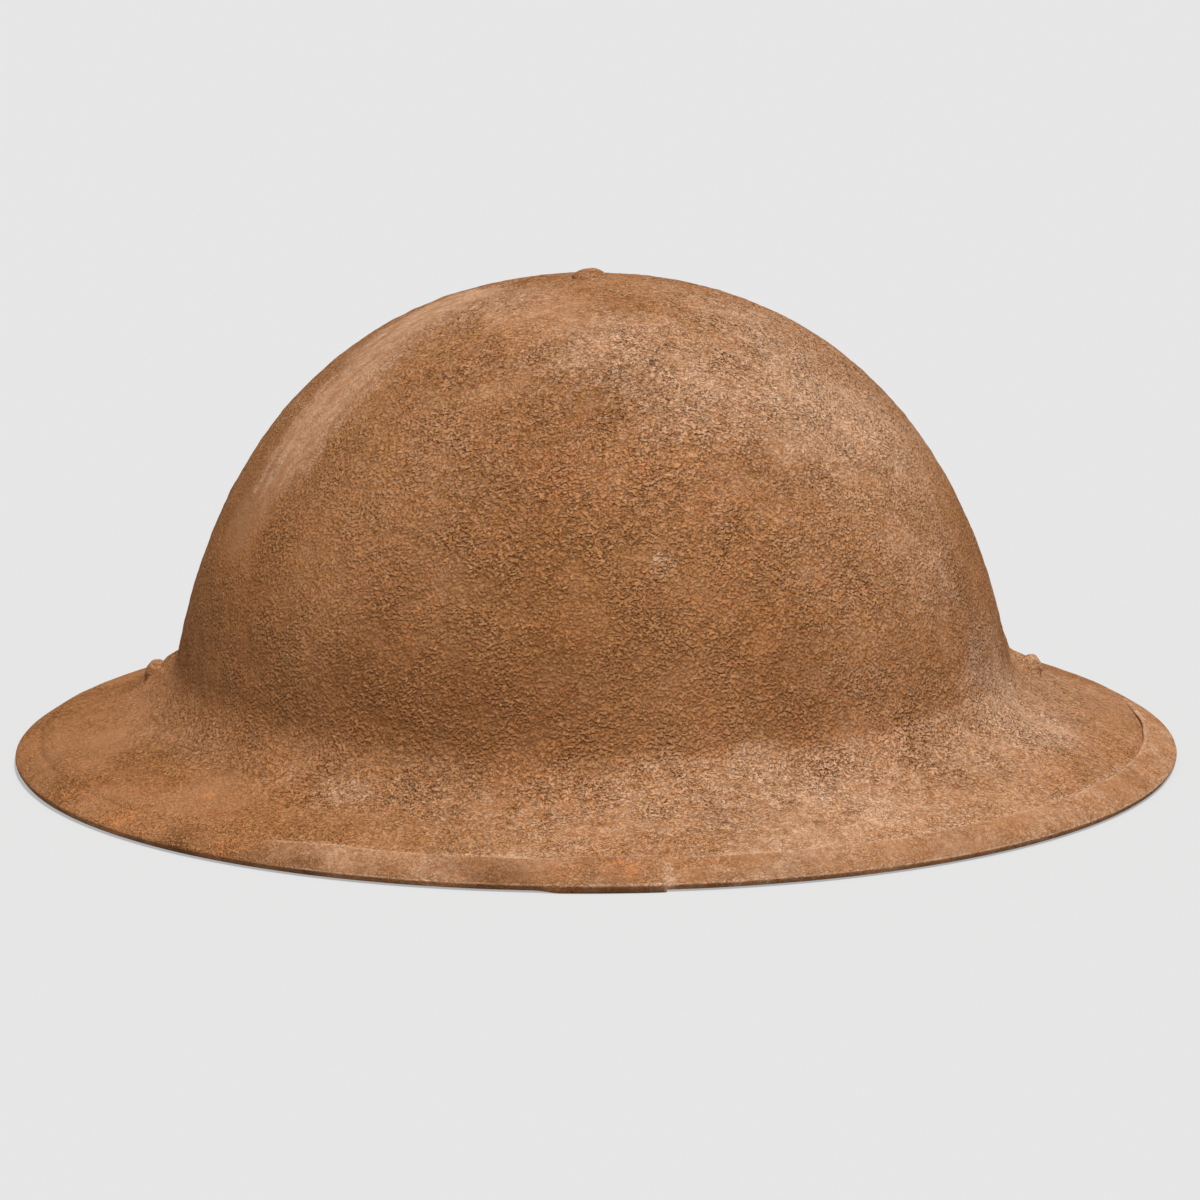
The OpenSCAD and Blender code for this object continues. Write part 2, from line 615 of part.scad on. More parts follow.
// The folded end round a bar: the leather's outline, from below the bar round to above it
loop_r = wire_d / 2 + loop_fit;
function loop_slack(skew) = strap_w / 2 * tan(skew);
pinch = 14; // where the two layers meet
module strap_loop_hole(skew, lift) {
    slack = loop_slack(skew);
    polygon(concat(
        arc([-slack, 0], loop_r, 90, 270, 10),
        [[slack, -loop_r], [pinch, strap_z(pinch, lift)], [slack, loop_r]]
    ));
}
function strap_outline(skew, lift, far_end) =
    let (slack = loop_slack(skew), r = loop_r + strap_t)
    let (bends = concat([for (x = [pinch : 5 : fold_len - 1]) x], [fold_len]))
    let (rest = [for (x = [fold_len + 4 : 5 : settle_len + 3]) x])
    concat(
        [for (i = [len(rest) - 1 : -1 : 0]) [rest[i], strap_z(rest[i], lift) - strap_t]],
        [for (i = [len(bends) - 1 : -1 : 0]) [bends[i], strap_z(bends[i], lift) - strap_t]],
        [[slack, -r]],
        arc([-slack, 0], r, 270, 90, 14),
        [[slack, r]],
        [for (x = bends) [x, strap_z(x, lift) + strap_t]],
        [for (x = concat([fold_len], rest)) [x, strap_z(x, lift)]],
        far_end
    );
module at_stud(lift) {
    translate([stud_x, 0, strap_z(stud_x, lift)]) rotate([0, -strap_slope(stud_x, lift), 0]) children();
}
module strap_rivet() {
    half = strap_t + stud_seat;
    cylinder(d = stud_shank_d, h = 2 * half + 0.2, center = true);
    for (up = [0, 1]) mirror([0, 0, up]) translate([0, 0, half]) dome(stud_d, stud_h);
}
module strap_rivet_hole() {
    cylinder(d = stud_shank_d + 2 * hole_fit, h = 6 * strap_t, center = true);
}

module tongue_plan() {
    point = strap_w * 0.7;
    translate([-20, -strap_w / 2]) square([20 + tongue_len - point, strap_w]);
    intersection() {
        translate([tongue_len - strap_w, 0]) circle(r = strap_w, $fn = 96);
        translate([tongue_len - point - 1, -strap_w / 2]) square([point + 2, strap_w]);
    }
}
module tongue_strap() {
    lift = floor_gap;
    level = strap_z(tongue_len, lift);
    color(leather) at_strap(1, tongue_skew) difference() {
        rotate([90, 0, 0]) linear_extrude(strap_w, center = true) difference() {
            polygon(strap_outline(tongue_skew, lift, [[tongue_len, level], [tongue_len, level - strap_t]]));
            strap_loop_hole(tongue_skew, lift);
        }
        translate([0, 0, level - strap_t - 1]) linear_extrude(strap_t + 2) difference() {
            translate([tongue_len - strap_w, -strap_w]) square([2 * strap_w, 2 * strap_w]);
            tongue_plan();
        }
        at_stud(lift) strap_rivet_hole();
        for (i = [0 : holes - 1]) translate([tongue_len - first_hole - i * hole_pitch, 0, level])
            cylinder(d = hole_d, h = 4 * strap_t, center = true);
    }
}
module tongue_strap_rivet() {
    color(old_steel) at_strap(1, tongue_skew) at_stud(floor_gap) strap_rivet();
}

// The buckle half ends in a second fold, round the buckle's bar
heel_r = wire_d / 2 + loop_fit;
heel_z = strap_z(buckle_half, buckle_lift) + heel_r;
prong_hole_r = wire_d / 2 + bar_fit;
prong_r = prong_hole_r + prong_t;
prong_slot = prong_w + 4 * loop_fit;
slot_back = prong_r + 2 * strap_t + loop_fit;
end_stud_x = buckle_half - stud_x;
module buckle_strap() {
    lift = buckle_lift;
    r = heel_r + strap_t;
    level = strap_z(buckle_half, lift);
    color(leather) at_strap(-1, -buckle_skew) difference() {
        rotate([90, 0, 0]) linear_extrude(strap_w, center = true) difference() {
            polygon(strap_outline(buckle_skew, lift, concat(
                [for (z = [0, strap_t]) [buckle_half - fold_len, level + z]],
                [[buckle_half - pinch, level + strap_t]],
                arc([buckle_half, heel_z], r, 90, -90, 14)
            )));
            strap_loop_hole(buckle_skew, lift);
            polygon(concat(arc([buckle_half, heel_z], heel_r, -90, 90, 12), [[buckle_half - pinch, level]]));
        }
        translate([buckle_half - slot_back, -prong_slot / 2, level - 10]) cube([20, prong_slot, 20]);
        at_stud(lift) strap_rivet_hole();
        translate([end_stud_x, 0, level]) strap_rivet_hole();
    }
}
module buckle_strap_rivets() {
    color(old_steel) at_strap(-1, -buckle_skew) {
        at_stud(buckle_lift) strap_rivet();
        translate([end_stud_x, 0, strap_z(buckle_half, buckle_lift)]) strap_rivet();
    }
}

// Buckle: its frame leans down from the fold until its front bar rests
heel_height = low_bar_z + heel_z;
buckle_pitch = asin((heel_height - wire_d / 2 - floor_gap) / buckle_l);
module at_buckle() {
    at_strap(-1, -buckle_skew) translate([buckle_half, 0, heel_z]) rotate([0, buckle_pitch, 0]) children();
}
module buckle_frame() {
    color(old_steel) at_buckle() rotate([0, -90, 0]) wire_loop(buckle_w, buckle_l, bail_r, wire_d);
}
module buckle_prong() {
    tip = buckle_l + wire_d * 0.8;
    nose = 3; // length of its tapered end
    color(old_steel) at_buckle() rotate([90, 0, 0]) linear_extrude(prong_w, center = true) difference() {
        union() {
            circle(r = prong_r);
            polygon([[0, prong_hole_r], [tip, prong_hole_r], [tip, prong_r - 0.4 * prong_t],
                [tip - nose, prong_r], [0, prong_r]]);
        }
        circle(r = prong_hole_r);
    }
}

// Keeper: a leather loop that slides along the buckle half and holds the tongue's tip
keeper_x = buckle_half - fold_len - keeper_back;
keeper_room = 2 * strap_t + 2 * loop_fit;
module strap_keeper() {
    bottom = strap_z(keeper_x, buckle_lift) - strap_t - keeper_fit;
    color(leather) at_strap(-1, -buckle_skew) translate([keeper_x, 0, bottom])
        rotate([90, 0, 90]) linear_extrude(keeper_w, center = true) difference() {
            translate([-strap_w / 2 - keeper_fit - keeper_t, -keeper_t])
                square([strap_w + 2 * keeper_fit + 2 * keeper_t, keeper_room + 2 * keeper_t]);
            translate([-strap_w / 2 - keeper_fit, 0]) square([strap_w + 2 * keeper_fit, keeper_room]);
        }
}

shell();
rim();
crown_rivet();
crown_washer();
cross_strap_1();
cross_strap_2();
crown_pad();
outer_band();
sweatband();
net();
net_drawstring();
for (i = [1 : spacer_count]) spacer(i);
lug(-1);  // lug_left
lug(1);  // lug_right
lug_rivet(-1);  // lug_rivet_left
lug_rivet(1);  // lug_rivet_right
bail(-1);  // bail_left
bail(1);  // bail_right
buckle_strap();
buckle_strap_rivets();
tongue_strap();
tongue_strap_rivet();
buckle_frame();
buckle_prong();
strap_keeper();
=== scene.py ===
import json
import math

import bmesh
import bpy
from mathutils import Matrix, Vector, noise
from mathutils.geometry import intersect_point_line


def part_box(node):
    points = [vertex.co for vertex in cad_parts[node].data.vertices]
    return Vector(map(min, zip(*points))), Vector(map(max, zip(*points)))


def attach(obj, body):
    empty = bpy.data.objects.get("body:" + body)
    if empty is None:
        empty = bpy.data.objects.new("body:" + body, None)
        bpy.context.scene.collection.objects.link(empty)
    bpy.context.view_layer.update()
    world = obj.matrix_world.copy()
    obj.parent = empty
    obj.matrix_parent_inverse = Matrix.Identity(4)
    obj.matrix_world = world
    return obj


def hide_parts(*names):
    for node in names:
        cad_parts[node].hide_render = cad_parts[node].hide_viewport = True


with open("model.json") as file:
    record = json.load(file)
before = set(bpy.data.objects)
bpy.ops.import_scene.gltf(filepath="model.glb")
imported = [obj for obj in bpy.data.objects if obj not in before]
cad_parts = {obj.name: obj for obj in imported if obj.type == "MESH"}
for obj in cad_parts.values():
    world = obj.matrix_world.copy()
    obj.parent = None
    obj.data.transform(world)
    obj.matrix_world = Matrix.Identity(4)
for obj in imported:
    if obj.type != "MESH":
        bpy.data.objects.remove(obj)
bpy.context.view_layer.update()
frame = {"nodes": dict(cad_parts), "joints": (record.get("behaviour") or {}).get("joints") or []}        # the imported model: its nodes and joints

mm = 0.001


def clamped(value):
    return min(max(value, 0.0), 1.0)


# A new object in the scene for a mesh, a lamp or a camera
def linked(name, data):
    obj = bpy.data.objects.new(name, data)
    bpy.context.scene.collection.objects.link(obj)
    return obj


# Camera and stage, at the photograph's viewing angle

view = {
    "distance": 1800, "elevation": 11.06, "roll": -0.24, "target": (1.14, 0, 38.65),
    "focalPixels": 7210.6, "imagePixels": 1200, "sensor": 36, "farthest": 50,
}


def addCamera():
    data = bpy.data.cameras.new("camera")
    data.sensor_width = view["sensor"]
    data.lens = view["sensor"] * view["focalPixels"] / view["imagePixels"]
    data.clip_end = view["farthest"]
    camera = linked("camera", data)
    e = math.radians(view["elevation"])
    roll = math.radians(view["roll"])
    back = Vector((0, -math.cos(e), math.sin(e)))
    level = Vector((1, 0, 0))
    up = back.cross(level)
    right = math.cos(roll) * level + math.sin(roll) * up
    top = math.cos(roll) * up - math.sin(roll) * level
    place = (Vector(view["target"]) + back * view["distance"]) * mm
    turned = Matrix((right, top, back)).transposed().to_4x4()
    camera.matrix_world = Matrix.Translation(place) @ turned
    bpy.context.scene.camera = camera


addCamera()
print("camera set")


# Node helpers for the materials

def shaderTree(name):
    material = bpy.data.materials.new(name)
    material.use_nodes = True
    tree = material.node_tree
    return material, tree, tree.nodes["Principled BSDF"]


# Links each socket given, and sets each constant on the node's own input
def feed(tree, node, inputs):
    for key, value in inputs.items():
        if isinstance(value, bpy.types.NodeSocket):
            tree.links.new(value, node.inputs[key])
        else:
            node.inputs[key].default_value = value


def add(tree, kind, inputs=None, **settings):
    node = tree.nodes.new(kind)
    for key, value in settings.items():
        setattr(node, key, value)
    feed(tree, node, inputs or {})
    return node


def objectPlace(tree):
    return add(tree, "ShaderNodeTexCoord").outputs["Object"]


def stretched(tree, place, scale):
    return add(tree, "ShaderNodeMapping", {"Vector": place, "Scale": scale}).outputs[0]


# Noise whose features are about size mm across
def cloud(tree, place, size, detail=2.0, rough=0.5, warp=0.0):
    return add(tree, "ShaderNodeTexNoise", {
        "Vector": place, "Scale": 1 / (size * mm), "Detail": detail, "Roughness": rough, "Distortion": warp,
    }).outputs["Fac"]


def cells(tree, place, size, feature="F1"):
    inputs = {"Vector": place, "Scale": 1 / (size * mm)}
    return add(tree, "ShaderNodeTexVoronoi", inputs, feature=feature).outputs["Distance"]


def levels(tree, value, low, high, toLow=0.0, toHigh=1.0):
    inputs = {"Value": value, "From Min": low, "From Max": high, "To Min": toLow, "To Max": toHigh}
    return add(tree, "ShaderNodeMapRange", inputs, clamp=True).outputs["Result"]


# A look's noise by its name: (size, detail, roughness, warp), brought to its range where the look has one
def noisy(tree, place, look, name):
    value = cloud(tree, place, *look[name])
    return levels(tree, value, *look[name + "Range"]) if name + "Range" in look else value


def reckon(tree, operation, a, b=0.0):
    return add(tree, "ShaderNodeMath", {0: a, 1: b}, operation=operation).outputs[0]


def product(tree, *factors):
    value = factors[0]
    for factor in factors[1:]:
        value = reckon(tree, "MULTIPLY", value, factor)
    return value


def mixed(tree, share, a, b):
    a, b = [tuple(c) + (1,) if isinstance(c, tuple) and len(c) == 3 else c for c in (a, b)]
    return add(tree, "ShaderNodeMix", {0: share, 6: a, 7: b}, data_type="RGBA", blend_type="MIX").outputs[2]


# Lays tones of a look over a colour, each by its share
def layered(tree, colour, look, layers):
    for share, tone in layers:
        colour = mixed(tree, share, colour, look[tone])
    return colour


def bumped(tree, height, depth):
    return add(tree, "ShaderNodeBump", {"Height": height, "Distance": depth * mm}).outputs["Normal"]


# Materials: a noise is (size in mm, detail, roughness, warp), a range (from low, from high, to low, to high)

rustLook = {
    "umber": (0.315, 0.126, 0.039), "rust": (0.430, 0.184, 0.066), "red": (0.430, 0.150, 0.054),
    # The crevice tone darkens soil and also paints the shadow under the crumbs
    "ochre": (0.56, 0.285, 0.125), "soilAndShadow": (0.085, 0.030, 0.010), "dustAndLight": (0.68, 0.42, 0.265),
    # The crest tone paints a highlight on the crumbs' upper edges
    "crest": (0.64, 0.36, 0.19), "salt": (0.88, 0.78, 0.68), "spark": (0.66, 0.24, 0.08),
    "grey": (0.385, 0.186, 0.088),
    "crumbs": (0.78, 4.5, 0.62, 0.35), "crumbsRange": (0.45, 0.55), "crumbStretch": (0.9, 0.9, 1.1),
    "calm": (9, 3.0, 0.6, 0.5), "calmRange": (0.36, 0.60, 0.56, 1.10),
    "flakes": (2.8, 4.0, 0.6, 0.5), "fine": (0.38, 1.5), "cover": (2.4, 5.0, 0.7, 0.6),
    "broad": (40, 4.0, 0.6, 0.4), "broadRange": (0.36, 0.66),
    "patches": (13, 4.0, 0.65, 0.8), "patchesRange": (0.52, 0.70, 0.0, 0.55),
    "chips": (1.2, 1.5), "chipsRange": (0.70, 0.74),
    # sparks: specks of painted highlight, laid in ochre
    "sparks": (0.85, 1.0), "sparksRange": (0.63, 0.72, 0.0, 0.75),
    "relief": 0.90, "ledge": 0.28, "rough": 0.92, "gloss": 0.02,
}


# Old sand-textured paint turned to rust. The wear attribute holds grain, dust with painted light, soil with
# painted shade, and warmth.
def rustMaterial(name, look):
    material, tree, shader = shaderTree(name)
    place = objectPlace(tree)
    wear = add(tree, "ShaderNodeAttribute", attribute_name="wear", attribute_type="GEOMETRY")
    parts = add(tree, "ShaderNodeSeparateColor", {0: wear.outputs["Color"]})
    grain, dustAndLight, darkening = parts.outputs[0], parts.outputs[1], parts.outputs[2]
    warmth = wear.outputs["Alpha"]

    def crumbsAt(where):
        return noisy(tree, stretched(tree, where, look["crumbStretch"]), look, "crumbs")

    grain = product(tree, grain, noisy(tree, place, look, "calm"))
    step = {0: place, 1: (0, 0, look["ledge"] * mm)}
    crumbs = crumbsAt(place)
    above = crumbsAt(add(tree, "ShaderNodeVectorMath", step, operation="ADD").outputs[0])
    # Painted shadow: darker just under each raised crumb, where the light from above would shade it
    paintedLedgeShadow = levels(tree, reckon(tree, "SUBTRACT", above, crumbs), 0.20, 0.60)
    # Painted highlight: paler on the upper edge of each crumb, where the light from above would catch it
    paintedBrowHighlight = levels(tree, reckon(tree, "SUBTRACT", crumbs, above), 0.25, 0.75)
    flakes = noisy(tree, place, look, "flakes")
    fine = noisy(tree, place, look, "fine")
    height = reckon(tree, "ADD", product(tree, crumbs, 0.52), product(tree, fine, 0.30))
    height = product(tree, height, levels(tree, grain, 0.0, 1.0, 0.15, 1.0))
    height = reckon(tree, "ADD", height, product(tree, flakes, levels(tree, grain, 0.1, 0.8, 0.25, 1.1)))

    worn = product(tree, levels(tree, grain, 0.12, 0.6, 0.9, 0.0), levels(tree, flakes, 0.3, 0.6, 0.65, 1.0))
    # Painted highlight on the tops of the raised crumbs, laid in ochre, partly paler rust
    paintedCrestHighlight = product(tree, levels(tree, fine, 0.50, 0.68, 0.0, 0.5), crumbs, grain)
    warmed = product(tree, warmth, levels(tree, flakes, 0.38, 0.58))
    cover = reckon(tree, "ADD", noisy(tree, place, look, "cover"), product(tree, dustAndLight, 0.27))
    powder = product(tree, levels(tree, cover, 0.47, 0.83), levels(tree, dustAndLight, 0.04, 0.42))
    ridges = reckon(tree, "ABSOLUTE", reckon(tree, "SUBTRACT", flakes, 0.5))
    veins = levels(tree, ridges, 0.006, 0.05, 1.0, 0.0)
    veined = product(tree, veins, levels(tree, dustAndLight, 0.35, 0.8, 0.0, 0.8))
    settled = reckon(tree, "MAXIMUM", powder, veined)
    chips = product(tree, noisy(tree, place, look, "chips"), levels(tree, dustAndLight, 0.6, 1.0))
    colour = mixed(tree, noisy(tree, place, look, "broad"), look["umber"], look["rust"])
    colour = layered(tree, colour, look, [
        (noisy(tree, place, look, "patches"), "red"), (worn, "grey"), (paintedCrestHighlight, "ochre"), (warmed, "spark"),
        (product(tree, settled, 0.85), "dustAndLight"), (product(tree, darkening, 0.7), "soilAndShadow"),
        (product(tree, paintedBrowHighlight, grain, 0.45), "crest"), (product(tree, paintedLedgeShadow, grain, 0.97), "soilAndShadow"),
        # The ochre layers by crests and sparks are painted highlights
        (chips, "salt"), (product(tree, noisy(tree, place, look, "sparks"), grain), "ochre"),
    ])
    feed(tree, shader, {"Base Color": colour, "Roughness": look["rough"], "Specular IOR Level": look["gloss"],
                        "Normal": bumped(tree, height, look["relief"])})
    return material


ironLook = {
    "bare": (0.105, 0.075, 0.058), "rust": (0.28, 0.115, 0.048), "edge": (0.21, 0.165, 0.135),
    "patches": (5.0, 5.0, 0.65, 0.5), "patchesRange": (0.44, 0.62), "pits": (0.7, 3.0, 0.6), "relief": 0.09,
}


# Dark plain steel with light rust, for what holds the liner and the strap
def ironMaterial(name, look):
    material, tree, shader = shaderTree(name)
    place = objectPlace(tree)
    patches = noisy(tree, place, look, "patches")
    pits = noisy(tree, place, look, "pits")
    colour = layered(tree, look["bare"], look, [(levels(tree, pits, 0.4, 0.65), "edge"), (patches, "rust")])
    feed(tree, shader, {"Base Color": colour, "Metallic": levels(tree, patches, 0.1, 0.7, 0.75, 0.0),
                        "Roughness": levels(tree, patches, 0.0, 1.0, 0.45, 0.9),
                        "Normal": bumped(tree, pits, look["relief"])})
    return material


leatherLook = {
    "deep": (0.095, 0.042, 0.018), "tan": (0.235, 0.112, 0.048), "worn": (0.36, 0.205, 0.105),
    "crackTone": 0.4, "pores": 0.75, "creases": (3.2, 5.0, 0.65, 1.4), "creaseStretch": (1.0, 1.7, 1.0),
    "stains": (26, 4.0, 0.6), "stainsRange": (0.35, 0.66), "relief": 0.16, "gloss": 0.4,
}


# Tanned leather: pores, creases, stains and paler rubbed crests
def leatherMaterial(name, look):
    material, tree, shader = shaderTree(name)
    place = objectPlace(tree)
    pores = cells(tree, place, look["pores"])
    creases = noisy(tree, stretched(tree, place, look["creaseStretch"]), look, "creases")
    colour = layered(tree, look["deep"], look, [
        (noisy(tree, place, look, "stains"), "tan"), (levels(tree, creases, 0.52, 0.72, 0.0, 0.6), "worn")])
    cracks = levels(tree, creases, 0.30, 0.40, 0.7, 0.0)
    colour = mixed(tree, cracks, colour, tuple(c * look["crackTone"] for c in look["deep"]))
    height = reckon(tree, "ADD", product(tree, pores, 0.45), creases)
    feed(tree, shader, {"Base Color": colour, "Roughness": levels(tree, creases, 0.3, 0.7, 0.72, 0.50),
                        "Specular IOR Level": look["gloss"], "Normal": bumped(tree, height, look["relief"])})
    return material


oilclothLook = {
    "black": (0.012, 0.011, 0.011), "scuff": (0.075, 0.062, 0.050), "threads": 0.55,
    "threadStretch": (1.0, 1.0, 1.25), "cracks": (1.9, 6.0, 0.7, 1.2), "scuffs": (11, 5.0, 0.7),
    "scuffsRange": (0.50, 0.72), "relief": 0.12,
}


# Black coated cotton: a fine weave under a cracked glossy coat
def oilclothMaterial(name, look):
    material, tree, shader = shaderTree(name)
    place = objectPlace(tree)
    weave = cells(tree, stretched(tree, place, look["threadStretch"]), look["threads"])
    scuffs = noisy(tree, place, look, "scuffs")
    height = reckon(tree, "ADD", product(tree, weave, 0.25), noisy(tree, place, look, "cracks"))
    feed(tree, shader, {"Base Color": mixed(tree, scuffs, look["black"], look["scuff"]),
                        "Roughness": levels(tree, scuffs, 0.0, 1.0, 0.30, 0.68),
                        "Normal": bumped(tree, height, look["relief"])})
    return material


clothLooks = {
    "felt": {"dark": (0.150, 0.125, 0.095), "light": (0.36, 0.315, 0.245), "fibre": 0.8, "relief": 0.35},
    "cotton": {"dark": (0.29, 0.235, 0.155), "light": (0.58, 0.50, 0.36), "fibre": 0.35, "relief": 0.10},
    "linen": {"dark": (0.30, 0.24, 0.15), "light": (0.62, 0.53, 0.38), "fibre": 0.25, "relief": 0.05},
}


# Felt, twine or thread, from short tangled fibres
def fibreMaterial(name, look):
    material, tree, shader = shaderTree(name)
    place = objectPlace(tree)
    tangle = cloud(tree, place, look["fibre"], 6.0, 0.72, 2.2)
    darkening = levels(tree, cloud(tree, place, 17, 4.0, 0.6), 0.38, 0.68)
    colour = layered(tree, look["dark"], look, [
        (levels(tree, tangle, 0.34, 0.66), "light"), (product(tree, darkening, 0.45), "dark")])
    feed(tree, shader, {"Base Color": colour, "Roughness": 0.95, "Sheen Weight": 0.25, "Sheen Roughness": 0.6,
                        "Normal": bumped(tree, tangle, look["relief"])})
    return material


rubberLook = {
    "dark": (0.022, 0.018, 0.016), "bloom": (0.115, 0.090, 0.068), "blooms": (7.5, 5.0, 0.65),
    "bloomsRange": (0.40, 0.70), "crazing": 1.3, "relief": 0.05,
}


# Old rubber tube: dull, with a brown bloom and fine crazing
def rubberMaterial(name, look):
    material, tree, shader = shaderTree(name)
    place = objectPlace(tree)
    bloom = noisy(tree, place, look, "blooms")
    crazing = levels(tree, cells(tree, place, look["crazing"], "DISTANCE_TO_EDGE"), 0.0, 0.08)
    feed(tree, shader, {"Base Color": mixed(tree, bloom, look["dark"], look["bloom"]),
                        "Roughness": levels(tree, bloom, 0.0, 1.0, 0.62, 0.88),
                        "Normal": bumped(tree, crazing, look["relief"])})
    return material


innerLook = dict(rustLook, umber=(0.165, 0.078, 0.040), rust=(0.245, 0.118, 0.060), relief=0.25,
                 grey=(0.2, 0.135, 0.09))
bandLook = dict(leatherLook, deep=(0.07, 0.034, 0.018), tan=(0.17, 0.09, 0.045))
finish = {
    "rust": rustMaterial("rustyGrain", rustLook),
    "inner": rustMaterial("innerRust", innerLook),
    "iron": ironMaterial("darkIron", ironLook),
    "leather": leatherMaterial("oldLeather", leatherLook),
    "bandLeather": leatherMaterial("bandLeather", bandLook),
    "oilcloth": oilclothMaterial("blackOilcloth", oilclothLook),
    "felt": fibreMaterial("greyFelt", clothLooks["felt"]),
    "cotton": fibreMaterial("cottonTwine", clothLooks["cotton"]),
    "thread": fibreMaterial("linenThread", clothLooks["linen"]),
    "rubber": rubberMaterial("agedRubber", rubberLook),
}
print("materials made")


# Mesh helpers

def smoothStep(x):
    x = clamped(x)
    return x * x * (3 - 2 * x)


# 0 where x is at start, 1 where it is at end, smooth between and level beyond
def rise(x, start, end):
    return smoothStep((x - start) / (end - start))


# A point of a squared circle at an angle
def squaredRound(a, power):
    return [math.copysign(abs(v) ** power, v) for v in (math.cos(a), math.sin(a))]


def bezier(points, s):
    u = 1 - s
    shares = (u * u * u, 3 * u * u * s, 3 * u * s * s, s * s * s)
    return [sum(share * p[axis] for share, p in zip(shares, points)) for axis in (0, 1)]


# Adds a grid whose corner (i, j) goes to placeAt(i, j); seams and ends are closed by closeUp
def addGrid(bm, along, across, placeAt):
    for vert in bmesh.ops.create_grid(bm, x_segments=along, y_segments=across, size=1)["verts"]:
        i = round((vert.co.x + 1) * along / 2)
        j = round((vert.co.y + 1) * across / 2)
        vert.co = placeAt(i, j)


def closeUp(bm):
    bmesh.ops.remove_doubles(bm, verts=bm.verts, dist=2e-6)
    bmesh.ops.holes_fill(bm, edges=bm.edges)
    bmesh.ops.recalc_face_normals(bm, faces=bm.faces)
    return bm


# Spins points joined by edges about Z
def spinRound(bm, verts, edges, steps):
    bmesh.ops.spin(bm, geom=verts + edges, axis=(0, 0, 1), cent=(0, 0, 0), angle=2 * math.pi,
                   steps=steps, use_merge=True)


# A closed section of so many points, spun about Z and then placed by placeAt(step, point)
def ringMesh(around, section, placeAt, wearAt=None):
    bm = bmesh.new()
    column = [bm.verts.new((1, 0, i)) for i in range(section)]
    edges = [bm.edges.new((column[i], column[(i + 1) % section])) for i in range(section)]
    spinRound(bm, column, edges, around)
    wear = bm.verts.layers.float_color.new("wear") if wearAt else None
    for vert in bm.verts:
        step = round(math.atan2(vert.co.y, vert.co.x) / (2 * math.pi) * around) % around
        point = round(vert.co.z)
        vert.co = placeAt(step, point)
        if wearAt:
            vert[wear] = wearAt(vert.co, point)
    bmesh.ops.recalc_face_normals(bm, faces=bm.faces)
    return bm


# A profile of (radius, height) points in mm, from axis to axis, spun about Z and cut once finer
def turnedMesh(profile, around):
    bm = bmesh.new()
    verts = [bm.verts.new((r * mm, 0, z * mm)) for r, z in profile]
    spinRound(bm, verts, [bm.edges.new(pair) for pair in zip(verts, verts[1:])], around)
    bmesh.ops.remove_doubles(bm, verts=bm.verts, dist=1e-6)
    bmesh.ops.recalc_face_normals(bm, faces=bm.faces)
    bmesh.ops.subdivide_edges(bm, edges=bm.edges, cuts=1, use_grid_fill=True)
    return bm


def quarterRound(x, y, radius, turn):
    angles = [math.pi / 2 * (turn + k / 4) for k in range(5)]
    return [(x + radius * math.cos(a), y + radius * math.sin(a)) for a in angles]


# The outline of a flat band with rounded edges, centred; extra points lie along its upper and lower face
def bandSection(width, thick, corner, extra=()):
    h, t = width / 2 - corner, thick / 2 - corner
    upper = quarterRound(h, t, corner, 0)
    upper += [(x, thick / 2 - dip) for x, dip in extra]
    upper += quarterRound(-h, t, corner, 1)
    return upper + [(-x, -y) for x, y in upper]


# The way a path runs at one of its points
def wayAt(path, i):
    return (path[min(i + 1, len(path) - 1)] - path[max(i - 1, 0)]).normalized()


# A round tube along points, in the points' own unit
def addTube(bm, points, radius, sides):
    ways = [wayAt(points, i) for i in range(len(points))]
    side = ways[0].orthogonal().normalized()
    frames = []
    for way in ways:
        side = (side - way * side.dot(way)).normalized()
        frames.append((side, way.cross(side)))

    def placeAt(i, j):
        a = 2 * math.pi * j / sides
        return points[i] + radius * (math.cos(a) * frames[i][0] + math.sin(a) * frames[i][1])

    addGrid(bm, len(points) - 1, sides, placeAt)


def addBead(bm, place, radius, subdivisions=1):
    bmesh.ops.create_icosphere(bm, subdivisions=subdivisions, radius=radius, matrix=Matrix.Translation(place))


def meshOf(name, bm):
    mesh = bpy.data.meshes.new(name)
    bm.to_mesh(mesh)
    bm.free()
    return mesh


def piece(name, bm, body, materials, replaced=()):
    for face in bm.faces:
        face.smooth = True
    obj = linked(name, meshOf(name, bm))
    for material in materials:
        obj.data.materials.append(finish[material])
    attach(obj, body)
    if replaced:
        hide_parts(*replaced)
    return obj


def sewn(name, bm, body="helmet"):
    return piece(name, bm, body, ["thread"])


# A matrix whose Z runs along z and whose X is as near to x as it can be
def frameAt(origin, z, x):
    z = z.normalized()
    y = z.cross(x).normalized()
    return Matrix.Translation(origin) @ Matrix((y.cross(z), y, z)).transposed().to_4x4()


# Stitch length and thread radius in mm
stitches = {
    "band": (3.2, 0.32), "hem": (2.8, 0.28), "tube": (3, 0.28), "seam": (2.6, 0.28), "cross": (3, 0.3),
    "pad": (3.4, 0.35), "fold": (2.6, 0.3), "keeper": (2.2, 0.26), "keeperBar": (1.8, 0.28),
}


